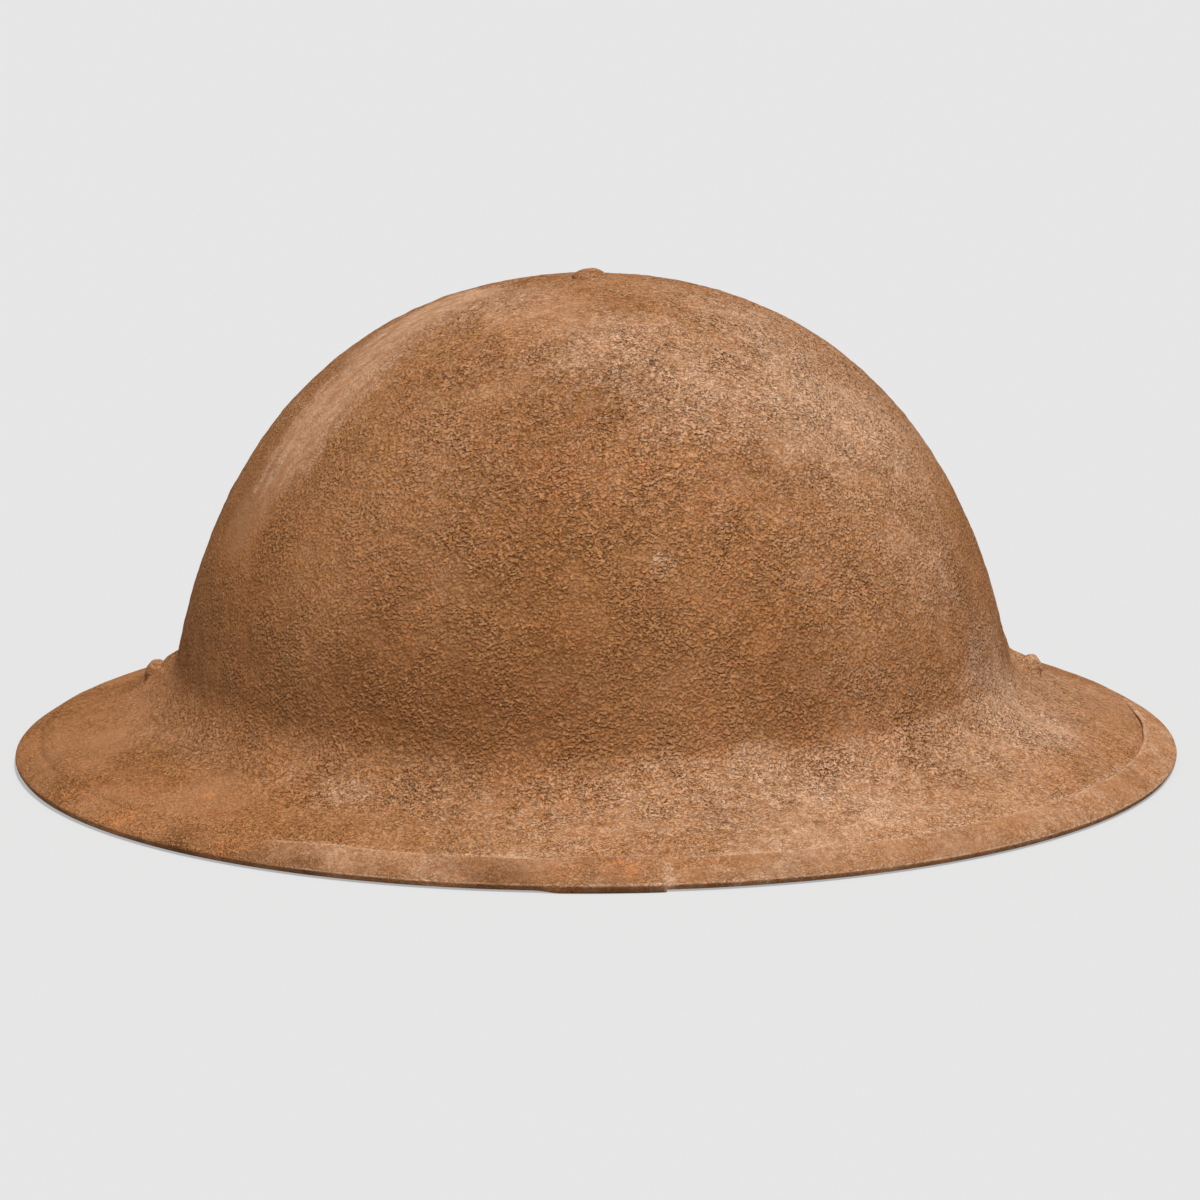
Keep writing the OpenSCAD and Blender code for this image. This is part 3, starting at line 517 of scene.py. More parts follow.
# A running thread along points that dips into the leather between its stitches; outward gives the way out
def stitchRow(bm, points, outward, kind, unit=mm):
    length, radius = [size * unit for size in stitches[kind]]
    sides = 5
    walked = [0.0]
    for a, b in zip(points, points[1:]):
        walked.append(walked[-1] + (b - a).length)
    count = max(1, round(walked[-1] / length))
    rings = []
    n = 1
    for k in range(4 * count + 1):
        target = walked[-1] * k / (4 * count)
        while n < len(walked) - 1 and walked[n] < target:
            n += 1
        share = (target - walked[n - 1]) / max(walked[n] - walked[n - 1], 1e-12)
        out = outward[n - 1].lerp(outward[n], share).normalized()
        across = out.cross(points[n] - points[n - 1]).normalized()
        swell = math.sin(math.pi * (k % 4) / 4)
        middle = points[n - 1].lerp(points[n], share) + out * radius * (1.15 * swell - 0.8)
        rings.append((middle, out, across, radius * (0.5 + 0.5 * swell)))

    def placeAt(i, j):
        middle, out, across, r = rings[i]
        a = 2 * math.pi * j / sides
        return middle + r * (math.cos(a) * across + math.sin(a) * out)

    addGrid(bm, 4 * count, sides, placeAt)


def turns(count, start=0.0):
    return [start + 2 * math.pi * k / count for k in range(count)]


# The same, with the first turn once more at the end
def fullTurns(count):
    return turns(count) + [2 * math.pi]


# The helmet's form: the same driving sizes as the solids, in mm

form = {
    "brimWidth": 290, "brimLength": 308, "height": 119.5, "bowlWidth": 206.8, "bowlLength": 227.5,
    "footHeight": 26.9, "crownReach": 59, "sideReach": 55.6, "sideLean": 11.6, "flareReach": 17,
    "edgeSlope": 34, "edgeReach": 19.3, "bowlShift": -0.8, "steel": 0.9,
    "rimStrip": 0.8, "rimGap": 0.18, "rimLeg": 8, "foldSquareness": 0.67,
}
slope = math.radians(form["edgeSlope"])
lean = math.radians(form["sideLean"])
foldRadius = form["steel"] / 2 + form["rimGap"] + form["rimStrip"]


# Direction from the brim's edge to the rim's outer face: a squared round
def foldWay(a):
    c, s = squaredRound(a, form["foldSquareness"])
    return c * math.sin(slope) + s * math.cos(slope), c * math.cos(slope) - s * math.sin(slope)


foldTurns = [math.radians(a) for a in (0, 25, 45, 65, 90, 112, 132, 157, 180)]
foldOut = foldRadius * max(foldWay(a)[0] for a in foldTurns)
foldDrop = -foldRadius * min(foldWay(a)[1] for a in foldTurns)
foot = (form["bowlWidth"] / 2, form["footHeight"])
sideWay = (math.sin(lean), -math.cos(lean))
edgeWay = (math.cos(slope), -math.sin(slope))
edge = (form["brimWidth"] / 2 - foldOut + form["steel"] / 2 * math.sin(slope),
        foldDrop + form["steel"] / 2 * math.cos(slope))


def stepped(point, way, reach):
    return point[0] + way[0] * reach, point[1] + way[1] * reach


bowlCurve = [(0, form["height"]), (form["crownReach"], form["height"]),
             stepped(foot, sideWay, -form["sideReach"]), foot]
brimCurve = [foot, stepped(foot, sideWay, form["flareReach"]),
             stepped(edge, edgeWay, -form["edgeReach"]), edge]
bowlOval = form["bowlLength"] / form["bowlWidth"]
brimOval = form["brimLength"] / form["brimWidth"]


def profileAt(s):
    return bezier(bowlCurve, s) if s <= 1 else bezier(brimCurve, s - 1)


# Outer surface in mm: s runs 0 at the crown, 1 at the bowl's foot, 2 at the brim's edge
def shellAt(s, t):
    r, z = profileAt(s)
    blend = rise(r, foot[0], edge[0])
    oval = bowlOval + (brimOval - bowlOval) * blend
    return Vector((r * math.cos(t) + form["bowlShift"] * (1 - blend), r * oval * math.sin(t), z))


def shellAlong(s, t):
    return (shellAt(s + 0.002, t) - shellAt(s - 0.002, t)).normalized()


def shellNormal(s, t):
    return shellAlong(s, t).cross(shellAt(s, t + 0.01) - shellAt(s, t - 0.01)).normalized()


def skinAt(s, t, depth):
    return shellAt(s, t) - shellNormal(s, t) * depth


def solveS(test, low, high):
    for _ in range(24):
        middle = (low + high) / 2
        low, high = (low, middle) if test(profileAt(middle)) else (middle, high)
    return (low + high) / 2


arcSteps = 400
arcLengths = [0.0]
for step in range(1, arcSteps + 1):
    here, before = profileAt(2 * step / arcSteps), profileAt(2 * (step - 1) / arcSteps)
    arcLengths.append(arcLengths[-1] + math.dist(here, before))


# The s at a share of the way from crown to edge, measured along the steel
def sAtShare(share):
    target = share * arcLengths[-1]
    low, high = 0, arcSteps
    while high - low > 1:
        middle = (low + high) // 2
        low, high = (middle, high) if arcLengths[middle] <= target else (low, middle)
    inside = (target - arcLengths[low]) / max(arcLengths[high] - arcLengths[low], 1e-9)
    return 2 * (low + clamped(inside)) / arcSteps


# What time did to the steel, read off the photograph onto the surface, with painted light among the dust
# patches and painted shade among the soil patches: (place, reach in mm, strength)

surface = {
    "dents": [((-21, -2, 118.5), 13, -0.85), ((8, -2, 119.2), 9, 0.35), ((-40, -95, 60), 22, -0.35),
              ((60, -70, 70), 26, -0.3), ((20, -130, 12), 18, 0.3), ((-70, -100, 16), 20, -0.3)],
    "mounds": [((-108.4, 19.8, 17.3), 11.6, 1.75), ((-106, 20.2, 19.4), 6, 1.0),
               ((107.3, 20.4, 16.9), 8.2, 3.0), ((102.2, 16.9, 24.3), 12.5, 1.4)],
    "buckling": 0.30, "bucklingSize": 38, "lumps": 0.16, "lumpSize": 5.5, "grit": 0.208, "gritSize": 2.3,
    "rubbed": [((-34, 0, 114), (-48, -11, 109)), ((-48, -11, 109), (-61, -27, 98)),
               ((-61, -27, 98), (-74, -36, 83)), ((-74, -36, 83), (-86, -34, 66))],
    "rubbedWidth": 19, "rubWay": (-0.52, -0.35, -0.78),
    "smooth": [((-9, -30, 116), 26, 0.6), ((44, -67, 88), 9, 0.6), ((-91, -94, 10), 22, 0.6),
               ((-120, -30, 8), 26, 0.6)],
    # Paler patches: dust, and painted light where the lamp leaves the steel too dark
    "dustAndLight": [((11, -45, 111), 26, 0.52), ((1, -54, 108), 26, 0.18), ((25, -63, 100), 24, 0.50),
             ((50, -47, 97), 32, 0.66), ((41, -21, 110), 26, 0.60), ((70, -31, 87), 28, 0.60),
             ((81, -50, 58), 26, 0.30), ((99, -39, 21), 28, 1.0), ((109, -36, 14), 20, 0.60),
             ((22, -121, 15), 26, 0.28), ((39, -110, 19), 14, 0.50), ((60, -103, 15), 17, 0.25),
             ((-23, -15, 117), 20, 0.35), ((53, -112, 13.4), 8, 0.90), ((66, -114, 9.6), 10, 1.0),
             ((16, -97, 66), 5, 0.80), ((-60, -108, 15), 12, 0.35), ((-126, -76, 4), 18, 0.30),
             ((-40, 60, 100), 30, 0.50), ((60, 90, 40), 28, 0.60), ((-90, 60, 25), 26, 0.50)],
    # Darker patches, most round the foot: soil, and painted shade
    "darkening": [((-22, -109, 36), 34, 0.20), ((-70, -82, 31), 32, 0.08), ((48, -98, 33), 30, 0.18),
             ((10, -106, 50), 30, 0.16), ((-20, -98, 68), 30, 0.10), ((-46, -91, 57), 26, 0.12),
             ((60, 80, 40), 34, 0.2), ((-40, 95, 38), 34, 0.2)],
    "warm": [((11, -82, 87.5), 2.6, 1.0), ((-56, -92, 30), 9, 0.25), ((-92, -93, 9.6), 3, 0.8),
             ((4, -149, 4.5), 7, 1.0), ((9, -150, 3.4), 6, 1.0), ((-62, -24, 96), 9, 0.3),
             ((-30, -152, 2), 6, 0.6), ((-5, -152, 1.2), 5, 1.0), ((-125, -71, 3.9), 12, 0.55),
             ((-112, -92, 3), 9, 0.45)],
    "rimStains": [((-99, -112, 2), 12, 0.65), ((-80, -127, 2), 10, 0.5), ((-68, -134, 3), 9, 0.45),
                  ((-50, -142, 3), 12, 0.22), ((-22, -150, 3), 14, 0.35), ((-130, -60, 3), 10, 0.1),
                  ((4, -151, 3), 15, 0.22), ((86, -124, 3), 17, 0.24), ((112, -98, 3), 14, 0.12)],
}


def nearness(place, patch):
    return rise((place - Vector(patch[0])).length, patch[1], 0)


def patchSum(place, name):
    return sum(patch[2] * nearness(place, patch) for patch in surface[name])


def noiseAt(place, size, seed=0.0):
    return noise.noise(place / size + Vector((seed, seed * 1.7, -seed)))


# 1 in the middle of the rubbed band, 0 beyond its edges
def rubbedAt(place):
    if place.x > 0 or place.y > 30:
        return 0.0
    gap = surface["rubbedWidth"]
    for start, end in surface["rubbed"]:
        share = intersect_point_line(place, Vector(start), Vector(end))[1]
        gap = min(gap, (place - Vector(start).lerp(Vector(end), clamped(share))).length)
    return smoothStep(1.3 * (1 - gap / surface["rubbedWidth"]))


# Noise drawn out along the way the band was rubbed
def streakAt(place):
    way = Vector(surface["rubWay"]).normalized()
    along = place.dot(way)
    return noise.noise((place - way * along) / 3.4 + way * along / 30)


# The section's corner points take a painted highlight line of their own, and its face points painted shade
# with soil
rim = {
    "lapFrom": -7.6, "lapTo": 16.2, "lapRise": 7, "footLift": 0.5, "lowest": 0.03,
    "plainSteps": 374, "riseSteps": 14, "lapSteps": 30, "endCorner": 0.0015,
    "legWander": 0.35, "wanderSize": 17, "hammered": 0.09, "hammeredSize": 7,
    "cornerPoints": (9, 10), "facePoints": range(11, 20), "insidePoint": 31, "feather": 0.05, "fillWidth": 10,
}


# 1 where the strip's inner edge stands free, 0 at the left where rust has filled it in
def edgeShown(t):
    x, y = math.cos(t), math.sin(t)
    front = rise(x, -0.62, -0.46) * rise(y, 0.1, -0.1)
    right = rise(x, 0.5, 0.7) * rise(y, 0.33, 0.03)
    return max(front, right, 0.5 * rise(y, 0, 1))


# How far inside the strip's wandering inner edge a point of the outline lies, in mm
def insideStrip(point, t):
    way = Vector((math.cos(t), math.sin(t), 0))
    wander = rim["legWander"] * noise.noise(way * 150 / rim["wanderSize"])
    return math.dist(point, edge) - form["rimLeg"] - wander


# Rust that fills the brim up to the strip, where the strip's edge can't be seen
def rustFill(s, t):
    hidden = 1 - edgeShown(t)
    if s < 1.5 or hidden < 0.02:
        return 0.0
    inside = insideStrip(profileAt(s), t)
    full = form["rimGap"] + form["rimStrip"]
    return 0.93 * full * hidden * rise(inside, rim["fillWidth"], 0) * rise(inside, -2.2, -1.3)


# How far the pressed steel is off its smooth form, in mm: dents and buckling, the same inside and out
def unevenness(place, s):
    total = surface["buckling"] * noiseAt(place, surface["bucklingSize"], 3) + patchSum(place, "dents")
    return total * rise(s, 2, 1.88)


# 1 where the sand stands rough, near 0 where it is worn smooth
def grainAt(place, s):
    grain = 0.82 + 0.35 * noiseAt(place, 16, 11)
    grain *= 1 - 0.30 * rise(s, 1.38, 1.68)
    grain *= 1 - 0.35 * rise(s, 0.28, 0)
    for patch in surface["smooth"]:
        grain *= 1 - patch[2] * nearness(place, patch)
    rubbed = rubbedAt(place)
    grain *= 1 - rubbed * (0.86 - 0.5 * max(streakAt(place), 0))
    return max(grain, 0.06)


def wearOnShell(place, s, level):
    outward = rise(s, 1.35, 1.7)
    front = rise(place.y, -60, -120) * rise(place.x, -100, -20)
    # Dust, and painted light: paler towards the lit right and higher up towards the crown
    dustAndLight = 0.04 + 0.15 * level + 0.11 * noiseAt(place, 26, 5) + 0.19 * rise(place.x, -10, 80)
    dustAndLight += 0.09 * rise(place.z, 50, 90)
    dustAndLight += rise(s, 1.02, 1.14) * (0.09 + 0.09 * rise(place.x, -70, 10))
    dustAndLight -= outward * (0.26 - 0.26 * front)
    dustAndLight += patchSum(place, "dustAndLight") * (0.8 + 0.6 * noiseAt(place, 7, 9))
    rubbed = rubbedAt(place)
    dustAndLight += rubbed * (0.26 + 0.6 * streakAt(place)) * rise(place.z, 58, 82)
    edgeLine = rise(abs(math.dist(profileAt(s), edge) - form["rimLeg"] - 1.0), 1.2, 0)
    seen = rise(place.x, -92, -80) * rise(place.y, -20, -80)
    dustAndLight += 0.8 * edgeLine * (0.45 + 1.1 * noiseAt(place, 10, 13)) * seen
    # Painted shade, partly soil: darker in a band round the foot's hollow, about 36 mm up, less towards the
    # lit right and at the far left
    darkening = 0.24 * rise(abs(place.z - 36), 20, 0) * (1 - 0.62 * rise(place.x, -20, 90))
    darkening *= 1 - 0.9 * rise(place.x, -62, -96)
    darkening += 0.20 * max(noiseAt(place, 30, 17), 0) + 0.05 + patchSum(place, "darkening")
    warm = 0.35 * max(noiseAt(place, 26, 23) - 0.1, 0) + patchSum(place, "warm")
    return [clamped(v) for v in (grainAt(place, s), dustAndLight, darkening, warm)]


# Half an icosphere for each side of the steel, laid over the form by length along it, joined at the edge
def shellMesh():
    bm = bmesh.new()
    wear = bm.verts.layers.float_color.new("wear")

    def lay(verts, depth, detailed):
        for vert in verts:
            way = vert.co.normalized()
            s = sAtShare(math.acos(min(max(way.z, -1), 1)) / (math.pi / 2))
            t = math.atan2(way.y, way.x)
            place = shellAt(s, t)
            normal = shellNormal(max(s, 0.004), t)
            vert[wear] = wearOnShell(place, s, max(normal.z, 0) ** 2)
            lift = unevenness(place, s)
            if detailed:
                lumps = surface["lumps"] * noiseAt(place, surface["lumpSize"], 31)
                grit = vert[wear][0] * surface["grit"] * noiseAt(place, surface["gritSize"], 37)
                lift += rise(s, 1.83, 1.77) * (lumps + grit)
                lift += rustFill(s, t) + patchSum(place, "mounds")
            vert.co = (place + normal * (lift - depth)) * mm

    def halfSphere(subdivisions):
        made = bmesh.ops.create_icosphere(bm, subdivisions=subdivisions, radius=1)["verts"]
        geom = set(made)
        for vert in made:
            geom.update(vert.link_edges)
            geom.update(vert.link_faces)
        cut = bmesh.ops.bisect_plane(bm, geom=list(geom), dist=1e-5, plane_co=(0, 0, 0), plane_no=(0, 0, 1),
                                     clear_inner=True)["geom_cut"]
        kept = [v for v in made if v.is_valid] + [v for v in cut if isinstance(v, bmesh.types.BMVert)]
        return list(set(kept)), [e for e in cut if isinstance(e, bmesh.types.BMEdge)]

    outer, outerEdge = halfSphere(8)
    lay(outer, 0, True)
    outside = set(bm.faces)
    inner, innerEdge = halfSphere(6)
    lay(inner, form["steel"], False)
    inside = [f for f in bm.faces if f not in outside]
    for face in inside:
        face.material_index = 1
    bmesh.ops.reverse_faces(bm, faces=inside)
    bmesh.ops.bridge_loops(bm, edges=outerEdge + innerEdge)
    return bm


shell = piece("shell_skin", shellMesh(), "helmet", ["rust", "inner"], ["shell"])
print("shell laid,", len(shell.data.polygons), "faces")


# Rim: a strip folded over the edge, its left end lapped over its right end at the front

halfBrim = form["brimWidth"] / 2
lapStart, lapEnd = [1.5 * math.pi + math.asin(rim[name] / halfBrim) for name in ("lapFrom", "lapTo")]
lapRamp = rim["lapRise"] / halfBrim


# Angles round the rim, crowded where the lap's square end steps down
def rimTurns():
    corner, rampStart = rim["endCorner"], lapStart - lapRamp
    first, last = lapEnd - 2 * math.pi + corner, lapEnd - corner * 0.6
    angles = []
    for start, end, steps in ((first, rampStart, rim["plainSteps"]), (rampStart, lapStart, rim["riseSteps"]),
                              (lapStart, last, rim["lapSteps"])):
        angles += [start + (end - start) * k / steps for k in range(steps)]
    return angles + [lapEnd - corner * 0.3, lapEnd]


foldDetail = [math.radians(a) for a in (0, 14, 27, 38, 48, 58, 70, 84, 97, 108, 118, 128, 138, 150, 165, 180)]


# The strip's outline at an angle, in mm: over the brim, round the fold, under it and back inside
def rimSection(t):
    steel, gap = form["steel"], form["rimGap"]
    lap = form["rimStrip"] * rise(t, lapStart - lapRamp, lapStart)
    over = gap + form["rimStrip"] + lap
    legS = solveS(lambda p: insideStrip(p, t) < 0, 1, 2)
    cornerS = legS + 0.004
    uneven = rim["hammered"] * noiseAt(shellAt(2, t), rim["hammeredSize"], 41)
    shown = edgeShown(t)
    first = 0.12 + 0.34 * (1 - shown)

    def alongLeg(share):
        return legS + (2 - legS) * share

    tops = [(legS, over * 0.55 * shown - 0.05 * (1 - shown)),
            (legS + 0.006 + rim["feather"] * (1 - shown), over * 0.9)]
    tops += [(alongLeg(k), over + uneven) for k in (first, first + (0.85 - first) / 3, 0.68, 0.85)]
    points = [skinAt(s, t, -height - unevenness(shellAt(s, t), s)) for s, height in tops]
    normal, along = shellNormal(2, t), shellAlong(2, t)
    reach = foldRadius + lap + uneven * 0.6
    for a in foldDetail:
        c, s = squaredRound(a, form["foldSquareness"])
        point = skinAt(2, t, steel / 2) + normal * (c * reach) + along * (s * reach)
        point.z = max(point.z, rim["footLift"] * (1 - lap / form["rimStrip"]))
        points.append(point)
    inner = [(alongLeg(k), steel + over, 0) for k in (0.8, 0.5, 0.2)]
    inner += [(cornerS, steel + over * 0.85, 0), (legS, steel + over * 0.5, 0), (cornerS, steel + gap, 0)]
    inner += [(1.9, steel + gap, 0), (2, steel + gap, 0.4)]
    inner += [(2, -gap, 0.4), (1.9, -gap, 0), (cornerS, -gap, 0)]
    points += [skinAt(s, t, depth) + along * further for s, depth, further in inner]
    for point in points:
        point.z = max(point.z, rim["lowest"])
    return [p * mm for p in points]


def wearOnRim(place, point):
    spot = place / mm
    front = rise(spot.y, -60, -120)
    left = rise(spot.x, -60, -100)
    warm = 0.3 * max(noiseAt(spot, 14, 61), 0)
    # Dust, and painted light: paler towards the lit right
    dustAndLight = 0.26 + 0.3 * noiseAt(spot, 11, 63) + 0.12 * rise(spot.x, 0, 100)
    darkening = 0.05 + 0.5 * max(noiseAt(spot, 12, 67) - 0.05, 0)
    grain = 0.30 + 0.3 * noiseAt(spot, 13, 71)
    if point < 2 or point > rim["insidePoint"]:
        dustAndLight += (0.55 + 0.8 * noiseAt(spot, 6, 69)) * (1 - left)
        darkening *= 0.3
    elif point in rim["cornerPoints"]:
        # Painted highlight: a pale line along the fold's corner
        dustAndLight += (0.35 + 0.5 * noiseAt(spot, 9, 73)) * (1 - left)
    elif point in rim["facePoints"]:
        # Painted shade, partly soil: the fold's outer face darker
        darkening += 0.55 + 0.3 * noiseAt(spot, 8, 75)
        warm += 2.2 * max(noiseAt(spot, 7, 77) - 0.12, 0) * front
    else:
        # Painted shade, partly soil: the strip darker towards the fold at the front, where it turns down
        darkening += 0.045 * min(point - 1, 5) * front
    hidden = 1 - edgeShown(math.atan2(spot.y / brimOval, spot.x))
    if point not in rim["facePoints"] and hidden > 0.02:
        brim = wearOnShell(spot, 1.93, 0.9)
        grain, dustAndLight, darkening = [a + (b - a) * hidden for a, b in zip((grain, dustAndLight, darkening), brim)]
    warm += patchSum(spot, "warm")
    darkening += patchSum(spot, "rimStains")
    if abs(spot.x - rim["lapTo"]) < 0.6 and spot.y < 0:
        dustAndLight = 1.0
        darkening = 0.0
    return [clamped(v) for v in (grain, dustAndLight, darkening, warm)]


def addRim():
    sections = [rimSection(t) for t in rimTurns()]
    bm = ringMesh(len(sections), len(sections[0]), lambda step, point: sections[step][point], wearOnRim)
    piece("rim_strip", bm, "helmet", ["rust"], ["rim"])


addRim()
print("rim folded")


# Rivets of the shell

crownRivet = {
    "head": 9, "headHeight": 2.9, "skirt": 13, "shank": 5, "tail": 8.5, "tailHeight": 1.6, "sunk": 0.15,
    "neck": 0.6, "tilt": 0.10, "shift": -0.7, "wobble": 0.2,
}
lugRivet = {
    "head": 6.8, "headHeight": {-1: 2.2, 1: 1.7}, "skirt": 10.5, "lean": {-1: 0.31, 1: 0.20}, "seat": 0.45,
    "wobble": 0.2, "outside": 6.4, "behind": 20, "shank": 4, "neck": 0.6, "gap": 0.4, "lugThick": 1.9,
    "tail": [(3.0, 0.05), (2.6, 0.7), (1.5, 1.15), (0, 1.2)],
}


# A rivet's head from its top down, as (radius, height) in mm: a dome, and a skirt of rust where it has one
def domeProfile(width, height, base=0.0, skirt=0.0):
    angles = [math.pi / 2 * k / 9 for k in range(10)]
    dome = [(width / 2 * math.sin(a), base + height * max(math.cos(a), 0) ** 0.9) for a in angles]
    if not skirt:
        return dome
    kept = [(r, z) for r, z in dome if z > base + 0.36 * height]
    r, z = kept[-1]
    return kept + [(r + (skirt / 2 - r) * k / 6, base + (z - base) * (1 - k / 6) ** 2.2) for k in range(1, 7)]


def roughened(bm, amount, size, seed, middle=Vector((0, 0, 0))):
    for vert in bm.verts:
        vert.co += (vert.co - middle).normalized() * amount * mm * noiseAt(vert.co / mm, size, seed)


def wearOnRivet(place):
    spot = place / mm
    # Dust, and painted light: paler towards the lit right
    dustAndLight = 0.25 + 0.25 * rise(spot.x, 0, 60) + 0.3 * noiseAt(spot, 3, 3)
    return [0.45, clamped(dustAndLight), 0.18, 0.08]


def rivetPiece(node, bm):
    made = piece(node + "_head", bm, "helmet", ["rust"], [node])
    layer = made.data.color_attributes.new("wear", "FLOAT_COLOR", "POINT")
    for vert, item in zip(made.data.vertices, layer.data):
        item.color = wearOnRivet(vert.co)


def addCrownRivet():
    washerLow, washerTop = [corner.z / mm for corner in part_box("crown_washer")]
    top, skirt = form["height"], crownRivet["skirt"]
    shank, neck = crownRivet["shank"] / 2, top - crownRivet["neck"]
    tail = domeProfile(crownRivet["tail"], crownRivet["tailHeight"])
    outline = domeProfile(crownRivet["head"], crownRivet["headHeight"], top - crownRivet["sunk"], skirt)
    outline += [(skirt / 2, neck), (shank, neck), (shank, washerTop), (shank, washerLow)]
    outline += [(r, washerLow - z) for r, z in reversed(tail)]
    bm = turnedMesh(outline, 48)
    roughened(bm, crownRivet["wobble"], 2.2, 81, Vector((0, 0, top * mm)))
    for vert in bm.verts:
        if vert.co.z > top * mm:
            vert.co.z += crownRivet["tilt"] * vert.co.x * rise(vert.co.z / mm, top, top + 1.2)
            vert.co.x += crownRivet["shift"] * mm * rise(vert.co.z / mm, top, top + 1.2)
        vert.co.x += form["bowlShift"] * mm
    rivetPiece("crown_rivet", bm)


# Where a lug rivet pierces the flare, as s and t
def lugPlace(side):
    x = form["bowlWidth"] / 2 + lugRivet["outside"]
    y = lugRivet["behind"] / bowlOval
    s = solveS(lambda p: p[0] > math.hypot(x, y), 1, 2)
    t = math.atan2(y, x)
    return s, (t if side > 0 else math.pi - t)


def addLugRivet(side, node):
    s, t = lugPlace(side)
    place = skinAt(s, t, 0)
    seat = lugRivet["seat"] + unevenness(place, s) + patchSum(place, "mounds")
    shank = lugRivet["shank"] / 2
    tailTop = -form["steel"] - lugRivet["gap"] - lugRivet["lugThick"]
    outline = domeProfile(lugRivet["head"], lugRivet["headHeight"][side] + seat, skirt=lugRivet["skirt"])
    outline += [(lugRivet["skirt"] / 2, -lugRivet["gap"]), (shank, -lugRivet["neck"]), (shank, tailTop)]
    outline += [(r, tailTop - z) for r, z in lugRivet["tail"]]
    bm = turnedMesh(outline, 40)
    for vert in bm.verts:
        vert.co.y += side * lugRivet["lean"][side] * max(vert.co.z - seat * mm, 0)
    roughened(bm, lugRivet["wobble"], 1.9, 83 + side)
    bm.transform(frameAt(place * mm, shellNormal(s, t), Vector((0, 1, 0))))
    rivetPiece(node, bm)


addCrownRivet()
addLugRivet(-1, "lug_rivet_left")
addLugRivet(1, "lug_rivet_right")
print("rivets set")


# Liner: the walls are ovals that lean in as they rise, set in from the steel

liner = {
    "gap": 0.8, "layerGap": 0.15, "fit": 0.3, "around": 240,
    "bandLow": 39, "bandHeight": 33, "bandThick": 2, "bandWaver": 0.25, "bandSeam": 3,
    "spacerWidth": 12.6, "spacerBore": 6.4, "spacerLength": 29, "spacers": 12, "spacerEdge": 0.7,
    "sweatDrop": 5, "sweatHeight": 42, "sweatThick": 1.6, "sweatDip": 0.35, "pucker": 0.55, "seamWidth": 9,
    "seamStep": 0.5, "pairs": 0.026, "seamPair": 0.032,
}


def solveHeight(z):
    return solveS(lambda p: p[1] < z, 0, 1)


def bandAxes(z):
    s, depth = solveHeight(z), form["steel"] + liner["gap"]
    return skinAt(s, 0, depth).x - form["bowlShift"], skinAt(s, math.pi / 2, depth).y


bandTop = liner["bandLow"] + liner["bandHeight"]
lowAxes, highAxes = bandAxes(liner["bandLow"]), bandAxes(bandTop)
wallLean = math.atan((lowAxes[0] - highAxes[0]) / liner["bandHeight"])
spacerInset = liner["bandThick"] + liner["fit"] + liner["spacerWidth"] / 2
sweatInset = liner["bandThick"] + liner["spacerWidth"] + 2 * liner["fit"]
sweatLow = liner["bandLow"] - liner["sweatDrop"]
sweatTop = sweatLow + liner["sweatHeight"]


def wallAxes(z):
    share = (z - liner["bandLow"]) / liner["bandHeight"]
    return [low + (high - low) * share for low, high in zip(lowAxes, highAxes)]


def wallAt(z, inset, t):
    a, b = [axis - inset / math.cos(wallLean) for axis in wallAxes(z)]
    return Vector((form["bowlShift"] + a * math.cos(t), b * math.sin(t), z))


def wallOut(z, t):
    return (wallAt(z, -1, t) - wallAt(z, 0, t)).normalized()


# A wall whose section is (height, inset) points, with bulge(z, inset, t) setting it further in
def wallMesh(section, bulge):
    def placeAt(step, point):
        z, inset = section[point]
        t = 2 * math.pi * step / liner["around"]
        return wallAt(z, inset + bulge(z, inset, t), t) * mm

    return ringMesh(liner["around"], len(section), placeAt)


# A row of stitches along a wall at a height, showing on the side that sign points to
def wallStitches(bm, z, inset, bulge, sign, kind):
    angles = fullTurns(180)
    points = [wallAt(z, inset + bulge(z, inset, t), t) * mm for t in angles]
    stitchRow(bm, points, [wallOut(z, t) * sign for t in angles], kind)


def bandWaver(z, inset, t):
    spot = Vector((math.cos(t) * 5, math.sin(t) * 5, z / 20))
    return liner["bandWaver"] * (0.5 + 0.5 * noise.noise(spot))


def addOuterBand():
    low, height, thick = liner["bandLow"], liner["bandHeight"], liner["bandThick"]
    outline = bandSection(height, thick, 0.7, [(x, 0) for x in (11, 6, 0, -6, -11)])
    section = [(low + height / 2 + x, thick / 2 - y) for x, y in outline]
    piece("outer_band_leather", wallMesh(section, bandWaver), "helmet", ["bandLeather"],
          ["outer_band"])
    bm = bmesh.new()
    for z in (low + liner["bandSeam"], bandTop - liner["bandSeam"]):
        for inset, sign in ((thick, -1), (0, 1)):
            wallStitches(bm, z, inset, bandWaver, sign, "band")
    sewn("outer_band_stitches", bm)


# Gathers and wrinkles of the oilcloth, and the step of its seam on the inner face
def sweatBulge(z, inset, t):
    part = (z - sweatLow) / liner["sweatHeight"]
    gathers = 0.5 - 0.5 * math.cos(liner["spacers"] * 2 * t)
    wrinkles = 0.5 + 0.5 * noise.noise(Vector((math.cos(t) * 9, math.sin(t) * 9, z / 9)))
    bulge = liner["pucker"] * (0.35 * gathers + 0.65 * wrinkles) * (0.35 + 0.65 * rise(part, 1, 0.3))
    if inset > sweatInset + liner["sweatThick"] / 2:
        reach = abs(t - math.pi / 2) * lowAxes[1]
        seamEnd = liner["seamWidth"] / 2
        bulge += liner["seamStep"] * rise(reach, seamEnd, seamEnd - 0.6)
    return bulge


